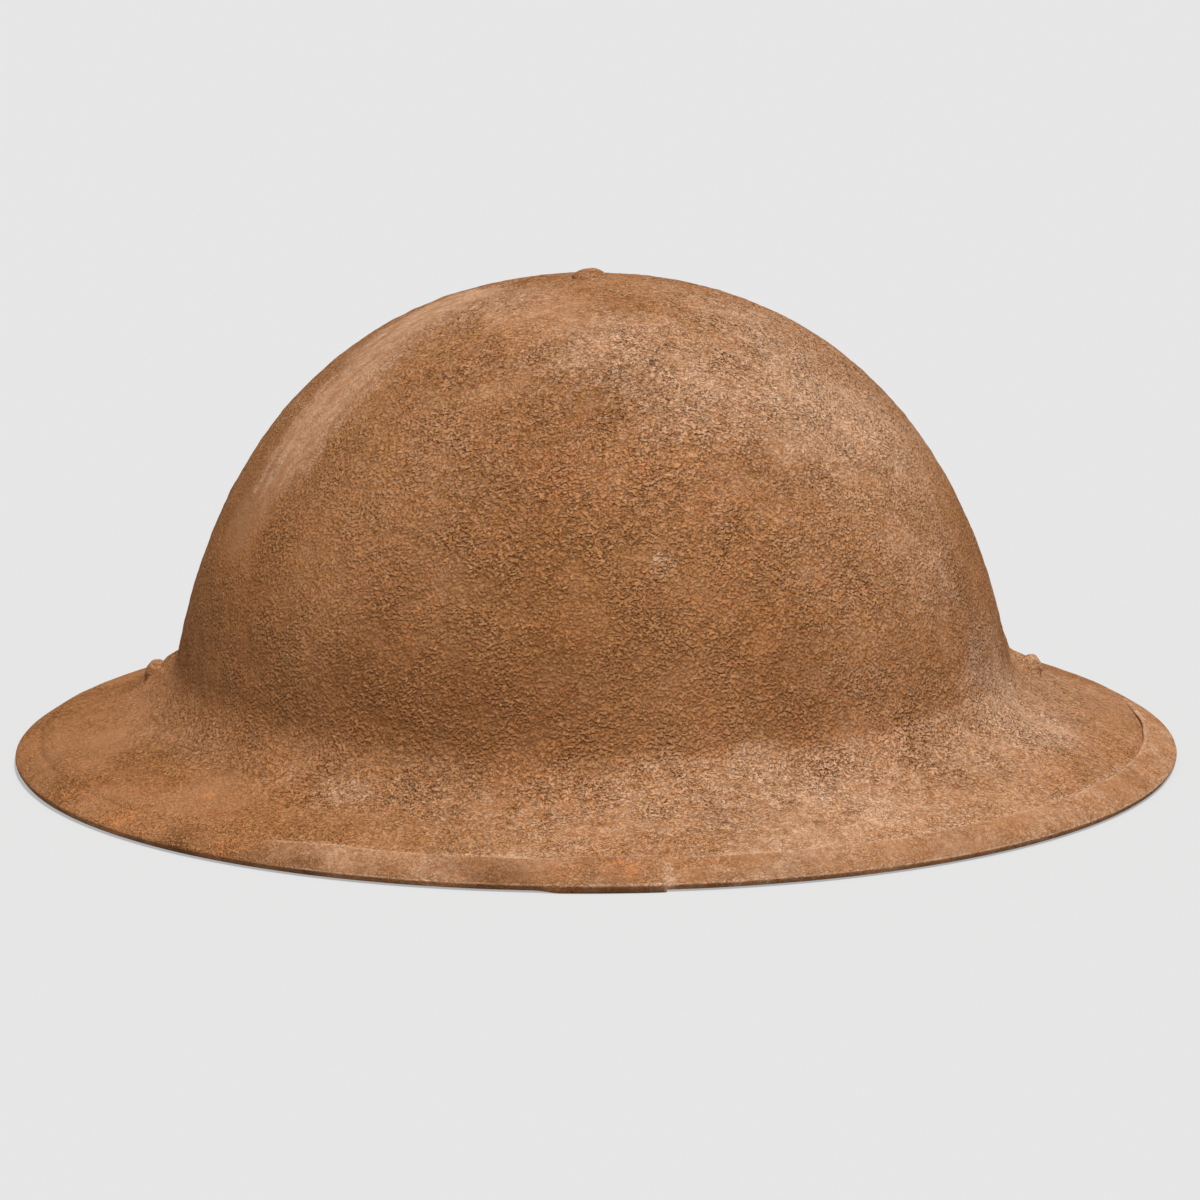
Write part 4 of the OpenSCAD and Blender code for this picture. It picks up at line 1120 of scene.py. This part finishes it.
def addSweatband():
    low, height, thick, dip = sweatLow, liner["sweatHeight"], liner["sweatThick"], liner["sweatDip"]
    flat = [(x, dip if x <= 16 else 0) for x in (19, 16.6, 16, 11, 5, 0, -5, -11, -16, -19)]
    outline = bandSection(height, thick, 0.6, flat)
    section = [(low + height / 2 - x, sweatInset + thick / 2 + y) for x, y in outline]
    band = piece("sweatband_oilcloth", wallMesh(section, sweatBulge), "helmet", ["oilcloth"],
                 ["sweatband"])
    middle = [wallAt(low + height / 2, sweatInset + thick / 2, t) * mm for t in fullTurns(liner["around"])]
    cut = sum((b - a).length for a, b in zip(middle, middle[1:]))
    bm = bmesh.new()
    inner = sweatInset + thick
    wallStitches(bm, low + 3.4, inner, sweatBulge, -1, "hem")
    wallStitches(bm, sweatTop - 3, inner - dip, sweatBulge, -1, "hem")
    heights = [low + 7 + 3 * k for k in range(11)]
    pair, seamPair = liner["pairs"], liner["seamPair"]
    rows = [(t, shift, "tube") for t in turns(liner["spacers"]) for shift in (-pair, pair)]
    rows += [(math.pi / 2 + shift, 0, "seam") for shift in (-seamPair, seamPair)]
    for middle, shift, kind in rows:
        t = middle + shift
        points = [wallAt(z, inner - dip + sweatBulge(z, inner, t), t) * mm for z in heights]
        stitchRow(bm, points, [-wallOut(z, middle) for z in heights], kind)
    sewn("sweatband_stitches", bm)


# Rubber tubes between the two bands, a little squashed and cut square with softened edges
def addSpacers():
    outer, bore, half = liner["spacerWidth"] / 2, liner["spacerBore"] / 2, liner["spacerLength"] / 2
    middle = liner["bandLow"] + liner["bandHeight"] / 2
    lift = half * math.cos(wallLean)
    wall = bandSection(2 * half, outer - bore, liner["spacerEdge"], [(x, 0) for x in (8, 0, -8)])
    for number, t in enumerate(turns(liner["spacers"]), 1):
        foot, head = [wallAt(middle + d, spacerInset, t) for d in (-lift, lift)]
        way = frameAt((foot + head) / 2, head - foot, wallOut(middle, t))
        squash = 0.02 + 0.02 * noiseAt(foot, 20, 5)

        def placeAt(step, point, way=way, squash=squash):
            along, across = wall[point]
            r = (outer + bore) / 2 + across
            a = 2 * math.pi * step / 40
            return way @ Vector((r * math.cos(a) * (1 - squash), r * math.sin(a), along)) * mm

        node = "spacer_%02d" % number
        piece(node + "_tube", ringMesh(40, len(wall), placeAt), "helmet", ["rubber"], [node])


# Cross straps and the felt pad, under the crown

crossStrap = {
    "width": 22, "thick": 1.8, "lap": 14, "bend": 9, "corner": 0.6, "steps": 26, "feet": 6, "seam": 7,
    "crease": [(8.6, 0), (8.1, 0.2), (7.6, 0), (4, 0), (0, 0)],
}
crossDepth = form["steel"] + liner["gap"]
crossLift = crossStrap["thick"] + liner["layerGap"]
crossTopS = solveHeight(bandTop + crossStrap["bend"])


def mirrored(flat):
    return flat + [(-x, dip) for x, dip in reversed(flat[:-1])]


# Where a point r along and w across a strap lies in plan, on a crown taken as round
def crossPlan(r, w, turn):
    d = Vector((math.cos(turn), math.sin(turn), 0))
    across = Vector((-bowlOval * math.sin(turn), math.cos(turn), 0)).normalized()
    q = w * Vector((across.x, across.y / bowlOval, 0))
    g = min(1, (r / 40) ** 2)
    m = q.dot(d)
    return (math.sqrt(r * r - g * (q.dot(q) - m * m)) - g * m) * d + q


def crossPoint(r, w, turn, depth):
    p = crossPlan(r, w, turn)
    far = p.length
    s = 0.006 if far < 0.01 else max(solveS(lambda q: q[0] > far, 0, 1), 0.004)
    return skinAt(s, math.atan2(p.y, p.x), depth)


def crossFoot(z, w, turn, inset):
    p = crossPlan(wallAxes(z)[0], w, turn)
    return wallAt(z, inset, math.atan2(p.y, p.x))


def crossRow(k, w, under, turn, level):
    steps, feet = crossStrap["steps"], crossStrap["feet"]
    turn, w, k = (turn, w, k) if k <= steps else (turn + math.pi, -w, 2 * steps - k)
    if k < feet:
        z = bandTop - crossStrap["lap"] + (crossStrap["lap"] + 2) * k / (feet - 1)
        return crossFoot(z, w, turn, liner["bandThick"] + liner["layerGap"] + under)
    r = profileAt(crossTopS * (steps - k) / (steps - feet))[0] + 0.02
    extra = level * crossLift * (1 - rise(r, crossStrap["width"], 2 * crossStrap["width"]))
    return crossPoint(r, w, turn, crossDepth + extra + under)


def addCrossStrap(number, turn, level):
    thick = crossStrap["thick"]
    outline = bandSection(crossStrap["width"], thick, crossStrap["corner"], mirrored(crossStrap["crease"]))

    def placeAt(i, j):
        across, up = outline[j % len(outline)]
        return crossRow(i, across, thick / 2 - up, turn, level) * mm

    bm = bmesh.new()
    addGrid(bm, 2 * crossStrap["steps"], len(outline), placeAt)
    name = "cross_strap_%d" % number
    piece(name + "_leather", closeUp(bm), "helmet", ["leather"], [name])
    bm = bmesh.new()
    heights = [bandTop - crossStrap["lap"] + 2 + 1.5 * k for k in range(7)]
    inset = liner["bandThick"] + liner["layerGap"] + thick
    for end in (turn, turn + math.pi):
        for w in (-crossStrap["seam"], crossStrap["seam"]):
            points = [crossFoot(z, w, end, inset) * mm for z in heights]
            stitchRow(bm, points, [-wallOut(z, end) for z in heights], "cross")
    sewn(name + "_stitches", bm)


pad = {
    "reach": 43, "thick": 7, "holeReach": 11, "softness": 0.55, "channel": 0.9, "fuzz": 0.3, "around": 120,
    "section": 32,
}


def addCrownPad():
    depth = form["steel"] + liner["gap"] + crossLift + crossStrap["thick"] + liner["fit"]
    inS, outS = [solveS(lambda p, far=pad[name]: p[0] > far, 0, 1) for name in ("holeReach", "reach")]

    def placeAt(step, point):
        c, v = squaredRound(2 * math.pi * point / pad["section"], pad["softness"])
        s = inS + (outS - inS) * (0.5 + 0.5 * c)
        t = 2 * math.pi * step / pad["around"]
        down = depth + pad["thick"] * (0.5 - 0.5 * v)
        if v < 0:
            down -= pad["channel"] * max(0.0, 1 - abs(c) / 0.12) + 0.5 * abs(c) ** 3
        spot = skinAt(s, t, down)
        fuzz = abs(pad["fuzz"] * noiseAt(spot, 3, 5))
        return (spot + shellNormal(s, t) * (-fuzz if v > 0 else fuzz)) * mm

    made = ringMesh(pad["around"], pad["section"], placeAt)
    felt = piece("crown_pad_felt", made, "helmet", ["felt"], ["crown_pad"])
    bm = bmesh.new()
    middle = (inS + outS) / 2
    angles = fullTurns(90)
    points = [skinAt(middle, t, depth + pad["thick"] - pad["channel"]) * mm for t in angles]
    stitchRow(bm, points, [-shellNormal(middle, t) for t in angles], "pad")
    sewn("crown_pad_stitches", bm)


# Net of knotted twine, laced to the top of the sweatband and drawn in by a string

# A lace is (height over the sweatband, inset from its outer face) points
net = {
    "thick": 1.4, "hole": 15, "strands": 26, "twist": 1.25, "steps": 26, "twine": 0.5, "knot": 0.95,
    "laces": 40, "laceSlant": 0.014, "stringWidth": 2.4, "stringGap": 20, "tail": 12,
    "lace": [(-4.2, 1.7), (-2, 2.15), (0.2, 2.0), (0.75, 1.2), (0.75, 0.4), (0.1, -0.35), (-2, -0.4),
             (-3.4, 0.3)],
}
netLow, netHigh = [corner.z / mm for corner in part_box("net")]
netBase = [axis - sweatInset / math.cos(wallLean) for axis in wallAxes(sweatTop)]
stringMiddle = Vector((form["bowlShift"], 0, netHigh - net["thick"] / 2))
stringReach = net["hole"] - liner["fit"] - net["stringWidth"] / 2


def netAt(q, inset, t):
    rx, ry = [net["hole"] + (axis - inset - net["hole"]) * math.cos(q) for axis in netBase]
    z = netLow + (netHigh - netLow - inset) * math.sin(q)
    return Vector((form["bowlShift"] + rx * math.cos(t), ry * math.sin(t), z))


def netTurn(q):
    return net["twist"] * (q / (math.pi / 2)) ** 1.15


# One strand: out of the sweatband, up the dome, and round the string
def addStrand(bm, family, inset, start):
    steps = net["steps"]
    points = [netAt(0.02, inset, start) + Vector((0, 0, -1.2))]
    for k in range(steps + 1):
        q = math.pi / 2 * k / steps
        points.append(netAt(q, inset, start + family * netTurn(q)))
    t = start + family * netTurn(math.pi / 2)
    out = Vector((math.cos(t), math.sin(t), 0))
    reach = net["stringWidth"] / 2 + net["twine"]
    for angle in range(60, 311, 50):
        a = math.radians(angle)
        up = Vector((0, 0, reach * math.sin(a)))
        points.append(stringMiddle + out * (stringReach + reach * math.cos(a)) + up)
    addTube(bm, [p * mm for p in points], net["twine"] * mm, 5)


def addNet():
    bm = bmesh.new()
    for family, inset in ((1, 0.45), (-1, 0.95)):
        for start in turns(net["strands"]):
            addStrand(bm, family, inset, start)
    closeUp(bm)
    spacing = math.pi / net["strands"]
    row = 1
    while row * spacing < net["twist"]:
        share = row * spacing / net["twist"]
        q = math.pi / 2 * share ** (1 / 1.15)
        for t in turns(net["strands"], spacing * (row % 2)):
            addBead(bm, netAt(q, 0.7, t) * mm, net["knot"] * mm * (1 - 0.25 * share))
        row += 1
    piece("net_twine", bm, "helmet", ["cotton"], ["net"])
    bm = bmesh.new()
    for t in turns(net["laces"]):
        points = []
        for step, (over, inset) in enumerate(net["lace"]):
            z, lay = sweatTop + over, t + net["laceSlant"] * step
            points.append(wallAt(z, sweatInset + inset + sweatBulge(z, 0, lay), lay) * mm)
        addTube(bm, points, net["twine"] * mm, 5)
    piece("net_lacing", closeUp(bm), "helmet", ["cotton"])


# A twisted string: its three strands are wound round the path
def addRope(bm, points, radius):
    walked = 0.0
    side = Vector((0, 0, 1))
    paths = [[], [], []]
    for i, point in enumerate(points):
        way = wayAt(points, i)
        side = (side - way * side.dot(way)).normalized()
        walked += (point - points[i - 1]).length if i else 0
        for k, path in enumerate(paths):
            a = 2 * math.pi * (k / 3 + walked / (7 * radius))
            path.append(point + radius * 0.46 * (math.cos(a) * side + math.sin(a) * way.cross(side)))
    for path in paths:
        addTube(bm, path, radius * 0.54, 6)


def addDrawstring():
    bm = bmesh.new()
    width = net["stringWidth"]
    gap = math.radians(net["stringGap"])
    arcTurns = [-math.pi / 2 + gap / 2 + (2 * math.pi - gap) * k / 150 for k in range(151)]
    addRope(bm, [(stringMiddle + stringReach * Vector((math.cos(a), math.sin(a), 0))) * mm for a in arcTurns],
            width / 2 * mm)
    knotWidth, knotLength = 1.9 * width, 2.5 * width
    knot = stringMiddle + Vector((0, knotWidth / 2 + liner["fit"] - net["hole"], 0))
    for k in (-1, 0, 1):
        loop = []
        for a in fullTurns(16):
            along = (0.5 * k + 0.35 * math.sin(a)) * knotLength * 0.42
            bend = knotWidth * 0.32
            loop.append((knot + Vector((along, math.cos(a) * bend, math.sin(a) * bend))) * mm)
        addTube(bm, loop, 0.46 * width * mm, 8)
    for side in (-1, 1):
        tail = [knot + Vector((side * (knotLength / 4 + 0.02 * d * d), 0.35 * d, -0.96 * d))
                for d in range(net["tail"] + 1)]
        addRope(bm, [p * mm for p in tail], 0.4 * width * mm)
        addBead(bm, tail[-1] * mm, 0.5 * width * mm, 2)
    piece("drawstring", closeUp(bm), "helmet", ["cotton"], ["net_drawstring"])


addOuterBand()
addSweatband()
addSpacers()
addCrossStrap(1, math.radians(45), 0)
addCrossStrap(2, math.radians(135), 1)
addCrownPad()
addNet()
addDrawstring()
print("liner sewn in")


# Chinstrap: two leather halves on the bails, in their own frames with x along the leather, in mm

strap = {
    "width": 19, "thick": 2.2, "tongueLength": 170, "buckleHalf": 142, "tongueSkew": 11, "gap": 1.6,
    "foldLength": 24, "pinch": 14, "settle": 45, "holes": 7, "holePitch": 12, "holeWidth": 3.2,
    "firstHole": 26, "barFit": 0.3, "floorGap": 0.2, "corner": 0.75, "creaseIn": 2.1, "creaseDepth": 0.22,
    "wear": 0.12, "foldSteps": (15, 18, 21, 24), "levelSteps": (28, 33, 38, 43, 48),
    "evenFrom": 54, "evenStep": 6,
    "tipSteps": (12, 9, 7, 5.5, 4.3, 3.4, 2.6, 2, 1.4, 0.9, 0.5, 0.2), "seam": (14.6, 22.8),
}
hanger = {
    "wire": 2.4, "drop": 12, "buckleLength": 17, "buckleWidth": 25.6, "prong": 3.2, "prongThick": 1.6,
    "pinFit": 0.15,
}
keeper = {
    "width": 10, "thick": 1.5, "back": 28, "fit": 0.15, "bend": 0.4, "seam": 3.1,
    "crease": [(3.4, 0), (3.1, 0.14), (2.8, 0), (0, 0)],
}

swing = {joint["name"]: joint for joint in frame["joints"]}
rightBar, leftBar = [Vector(swing[name]["pos_m"]) / mm for name in ("bail_right_swing", "bail_left_swing")]
lugTurn = math.atan2(*[abs(part) for part in swing["bail_right_swing"]["axis"][:2]])
lowBarHeight = rightBar.z - hanger["drop"]
loopReach = hanger["wire"] / 2 + strap["barFit"]

tongueTurn = math.radians(strap["tongueSkew"]) + lugTurn
buckleCorner = (strap["buckleHalf"] + hanger["buckleLength"] + hanger["wire"] / 2,
                (hanger["buckleWidth"] + hanger["wire"]) / 2)
offLine = strap["width"] / 2 + strap["gap"] - (rightBar - leftBar).length * math.sin(tongueTurn)
cornerTurn = math.atan2(buckleCorner[1], buckleCorner[0])
buckleTurn = tongueTurn + cornerTurn + math.asin(offLine / math.hypot(*buckleCorner))
skews = {"tongue": math.radians(strap["tongueSkew"]), "buckle": buckleTurn + lugTurn}
lifts = {"tongue": strap["floorGap"], "buckle": keeper["thick"] + keeper["fit"] + strap["floorGap"]}


def strapWay(half):
    bar = rightBar if half == "tongue" else leftBar
    mirror = Matrix.Identity(4) if half == "tongue" else Matrix.Scale(-1, 4, (1, 0, 0))
    skew = skews[half] if half == "tongue" else -skews[half]
    return (Matrix.Scale(mm, 4) @ Matrix.Translation(bar) @ mirror @ Matrix.Rotation(lugTurn, 4, "Z")
            @ Matrix.Translation((0, 0, -hanger["drop"])) @ Matrix.Rotation(math.pi + skew, 4, "Z"))


def strapHeight(x, half):
    u = min(x / strap["settle"], 1)
    return (-lowBarHeight + strap["thick"] + lifts[half]) * (1 - (1 - u) ** 2)


# Moves a mesh from a strap half's own frame into place; the left half's frame is mirrored
def placed(bm, half):
    bm.transform(strapWay(half))
    if half == "buckle":
        bmesh.ops.recalc_face_normals(bm, faces=bm.faces)
    return bm


# Rounds the corners of a path by cutting them twice
def softened(points):
    for _ in range(2):
        cut = [points[0]]
        for a, b in zip(points, points[1:]):
            cut += [a.lerp(b, 0.25), a.lerp(b, 0.75)]
        points = cut + [points[-1]]
    return points


# The fold round the bail, from its short end to where the strap lies level
def foldPath(half):
    thick = strap["thick"]
    slack = strap["width"] / 2 * math.tan(skews[half])
    reach = loopReach + thick / 2
    back = (strap["pinch"],) + strap["foldSteps"]
    path = [Vector((x, 0, strapHeight(x, half) + thick / 2)) for x in reversed(back)]
    path.append(Vector((slack, 0, reach)))
    for k in range(13):
        a = math.radians(90 + 15 * k)
        path.append(Vector((-slack + reach * math.cos(a), 0, reach * math.sin(a))))
    path.append(Vector((slack, 0, -reach)))
    path += [Vector((x, 0, strapHeight(x, half) - thick / 2)) for x in back + strap["levelSteps"]]
    return softened(path)


def sweptStrap(path, halfWidthAt):
    crease, depth = strap["creaseIn"], strap["creaseDepth"]
    h = strap["width"] / 2
    flat = [(h - crease + 0.4, 0), (h - crease, depth), (h - crease - 0.4, 0), (h * 0.45, 0.02), (0, 0.03)]
    outline = bandSection(strap["width"], strap["thick"], strap["corner"], mirrored(flat))
    last = len(path) - 1

    def placeAt(i, j):
        across, up = outline[j % len(outline)]
        way = wayAt(path, i)
        normal = Vector((-way.z, 0, way.x))
        spot = path[i]
        share = halfWidthAt(i, spot) / h
        uneven = strap["wear"] * noiseAt(spot + Vector((0, across, 40 if up > 0 else 0)), 7, 3)
        shrink = 1 if i < last else 0.75
        return spot + Vector((0, across * share, 0)) + normal * (up * shrink + uneven * min(abs(up), 0.8))

    bm = bmesh.new()
    addGrid(bm, last, len(outline), placeAt)
    return closeUp(bm)


# Cuts the shapes of one mesh out of another with a Boolean modifier, and returns the result
def cutOut(bm, cutter):
    work, tool = [linked(name, meshOf(name, source)) for name, source in (("work", bm), ("cutter", cutter))]
    modifier = work.modifiers.new("cut", "BOOLEAN")
    modifier.operation = "DIFFERENCE"
    modifier.solver = "EXACT"
    modifier.object = tool
    bpy.context.view_layer.update()
    cleared = bmesh.new()
    cleared.from_object(work, bpy.context.evaluated_depsgraph_get())
    for obj in (work, tool):
        mesh = obj.data
        bpy.data.objects.remove(obj)
        bpy.data.meshes.remove(mesh)
    return cleared


# A box of stitches through the two layers of a fold, on both faces
def foldStitches(bm, half, start, end):
    h = strap["width"] / 2 - strap["creaseIn"]
    corners = [(start, -h), (end, -h), (end, h), (start, h), (start, -h)]
    for sign in (1, -1):
        for (x0, y0), (x1, y1) in zip(corners, corners[1:]):
            count = max(2, round(math.dist((x0, y0), (x1, y1)) / 1.5))
            points = []
            for k in range(count + 1):
                x, y = x0 + (x1 - x0) * k / count, y0 + (y1 - y0) * k / count
                points.append(Vector((x, y, strapHeight(x, half) + sign * strap["thick"])))
            stitchRow(bm, points, [Vector((0, 0, sign))] * len(points), "fold", 1)


def levelPath(half, end):
    z = strapHeight(strap["settle"], half) - strap["thick"] / 2
    return [Vector((x, 0, z)) for x in range(strap["evenFrom"], end, strap["evenStep"])]


def addTongueHalf():
    length, width = strap["tongueLength"], strap["width"]
    level = strapHeight(length, "tongue")
    path = foldPath("tongue") + levelPath("tongue", length - 12)
    path += [Vector((length - d, 0, level - strap["thick"] / 2)) for d in strap["tipSteps"]]
    tipMiddle = length - width

    def halfWidthAt(i, spot):
        if i < 30 or spot.x < tipMiddle:
            return width / 2
        return min(width / 2, math.sqrt(max(width ** 2 - (spot.x - tipMiddle) ** 2, 0.5)))

    holes = bmesh.new()
    radius = strap["holeWidth"] / 2
    for k in range(strap["holes"]):
        place = (length - strap["firstHole"] - k * strap["holePitch"], 0, level)
        bmesh.ops.create_cone(holes, cap_ends=True, segments=28, radius1=radius, radius2=radius, depth=12,
                              matrix=Matrix.Translation(place))
    bm = placed(cutOut(sweptStrap(path, halfWidthAt), holes), "tongue")
    piece("tongue_leather", bm, "tongue_half", ["leather"], ["tongue_strap"])
    bm = bmesh.new()
    foldStitches(bm, "tongue", *strap["seam"])
    sewn("tongue_stitches", placed(bm, "tongue"), "tongue_half")


def addBuckleHalf():
    length, thick = strap["buckleHalf"], strap["thick"]
    level = strapHeight(length, "buckle")
    path = foldPath("buckle") + levelPath("buckle", length - 2)
    reach = loopReach + thick / 2
    heel = level + loopReach
    for k in range(17):
        a = math.radians(-90 + 180 * k / 16)
        path.append(Vector((length + reach * math.cos(a), 0, heel + reach * math.sin(a))))
    flat = [length - strap["pinch"]] + [length - strap["foldLength"] + d for d in (7, 4, 1, 0)]
    back = [Vector((length - 4, 0, heel + reach - 0.5))] + [Vector((x, 0, level + thick / 2)) for x in flat]
    path += softened([path[-1]] + back)[1:]
    slotBack = hanger["wire"] / 2 + hanger["pinFit"] + hanger["prongThick"] + 2 * thick + strap["barFit"]
    slotWidth = hanger["prong"] + 4 * strap["barFit"]
    slot = bmesh.new()
    box = Matrix.Translation((length - slotBack + 10, 0, level)) @ Matrix.Diagonal((20, slotWidth, 20, 1))
    bmesh.ops.create_cube(slot, size=1, matrix=box)
    bm = placed(cutOut(sweptStrap(path, lambda i, spot: strap["width"] / 2), slot), "buckle")
    piece("buckle_leather", bm, "buckle_half", ["leather"], ["buckle_strap"])
    bm = bmesh.new()
    near, far = strap["seam"]
    foldStitches(bm, "buckle", near, far)
    foldStitches(bm, "buckle", length - far, length - near)
    sewn("buckle_stitches", placed(bm, "buckle"), "buckle_half")


def addKeeper():
    thick, bend = keeper["thick"], keeper["bend"]
    middle = strap["buckleHalf"] - strap["foldLength"] - keeper["back"]
    bottom = strapHeight(middle, "buckle") - strap["thick"] - keeper["fit"]
    room = 2 * strap["thick"] + 2 * strap["barFit"]
    outline = bandSection(keeper["width"], thick, 0.5, mirrored(keeper["crease"]))
    loop = []
    corners = [(1, 1), (-1, 1), (-1, -1), (1, -1)]
    w, h = strap["width"] / 2 + keeper["fit"] - bend, room / 2 - bend
    for turn, (sx, sy) in enumerate(corners):
        loop += [(sx * w, sy * h, math.pi / 2 * (turn + k / 5)) for k in range(6)]
        nx, ny = corners[(turn + 1) % 4]
        for share in (0.2, 0.4, 0.6, 0.8):
            y, z = (sx + (nx - sx) * share) * w, (sy + (ny - sy) * share) * h
            loop.append((y, z, math.pi / 2 * (turn + 1)))

    def placeAt(step, point):
        y, z, a = loop[step]
        along, out = outline[point]
        reach = bend + thick / 2 + out
        return Vector((middle + along, y + reach * math.cos(a), bottom + room / 2 + z + reach * math.sin(a)))

    bm = placed(ringMesh(len(loop), len(outline), placeAt), "buckle")
    piece("keeper_leather", bm, "strap_keeper", ["leather"], ["strap_keeper"])
    bm = bmesh.new()
    top, up = bottom + room + thick, Vector((0, 0, 1))
    for x in (-keeper["seam"], keeper["seam"]):
        points = [Vector((middle + x, y, top - 0.1)) for y in (-8, -4, 0, 4, 8)]
        stitchRow(bm, points, [up] * 5, "keeper", 1)
    stitchRow(bm, [Vector((middle + x, 3, top)) for x in (-3, 0, 3)], [up] * 3, "keeperBar", 1)
    sewn("keeper_stitches", placed(bm, "buckle"), "strap_keeper")


addTongueHalf()
addBuckleHalf()
addKeeper()
print("chinstrap made")


# Steel parts that keep their own solids

ironNodes = ["crown_washer", "lug_left", "lug_right", "bail_left", "bail_right", "buckle_strap_rivets",
             "tongue_strap_rivet", "buckle_frame", "buckle_prong"]
for name in ironNodes:
    node = frame["nodes"][name]
    node.data.materials.clear()
    node.data.materials.append(finish["iron"])
print("steel parts finished")


# Stage and light; the stage's colours are greys

stageLook = {"pale": 0.807, "shade": 0.545, "size": 30, "worldLight": 0.30, "bounce": 0.50, "shadow": 0.5}
sunLook = {"power": 3.9, "angle": 8, "way": (0.205, -0.38, 1.0)}


# One grey where the camera sees the surface, another where only light meets it
def greyInView(tree, seenLevel, litLevel):
    rays = add(tree, "ShaderNodeLightPath").outputs
    bounced = reckon(tree, "MAXIMUM", rays["Is Glossy Ray"], rays["Is Transmission Ray"])
    seen = reckon(tree, "MAXIMUM", rays["Is Camera Ray"], bounced)
    return mixed(tree, seen, (litLevel,) * 3, (seenLevel,) * 3)


def addStage():
    bm = bmesh.new()
    bmesh.ops.create_grid(bm, x_segments=1, y_segments=1, size=stageLook["size"] / 2)
    floor = linked("floor", meshOf("floor", bm))
    material, tree, shader = shaderTree("paleFloor")
    feed(tree, shader, {"Base Color": greyInView(tree, stageLook["shade"], stageLook["bounce"]),
                        "Roughness": 0.95, "Specular IOR Level": 0.0})
    glow = add(tree, "ShaderNodeEmission", {"Color": (stageLook["pale"],) * 3 + (1,)}).outputs[0]
    share = greyInView(tree, 1 - stageLook["shadow"], 0.0)
    both = add(tree, "ShaderNodeMixShader", {0: share, 1: shader.outputs[0], 2: glow}).outputs[0]
    feed(tree, tree.nodes["Material Output"], {"Surface": both})
    floor.data.materials.append(material)


def addLights():
    data = bpy.data.lights.new("softSun", "SUN")
    data.energy = sunLook["power"]
    data.angle = math.radians(sunLook["angle"])
    lamp = linked("softSun", data)
    lamp.matrix_world = frameAt(Vector((0, 0, 2)), Vector(sunLook["way"]), Vector((1, 0, 0)))
    world = bpy.data.worlds.new("world")
    bpy.context.scene.world = world
    world.use_nodes = True
    tree = world.node_tree
    sky = greyInView(tree, stageLook["pale"], stageLook["worldLight"])
    feed(tree, tree.nodes["Background"], {"Color": sky})
    bpy.context.scene.view_settings.view_transform = "Standard"


addStage()
addLights()
print("stage and lights set")
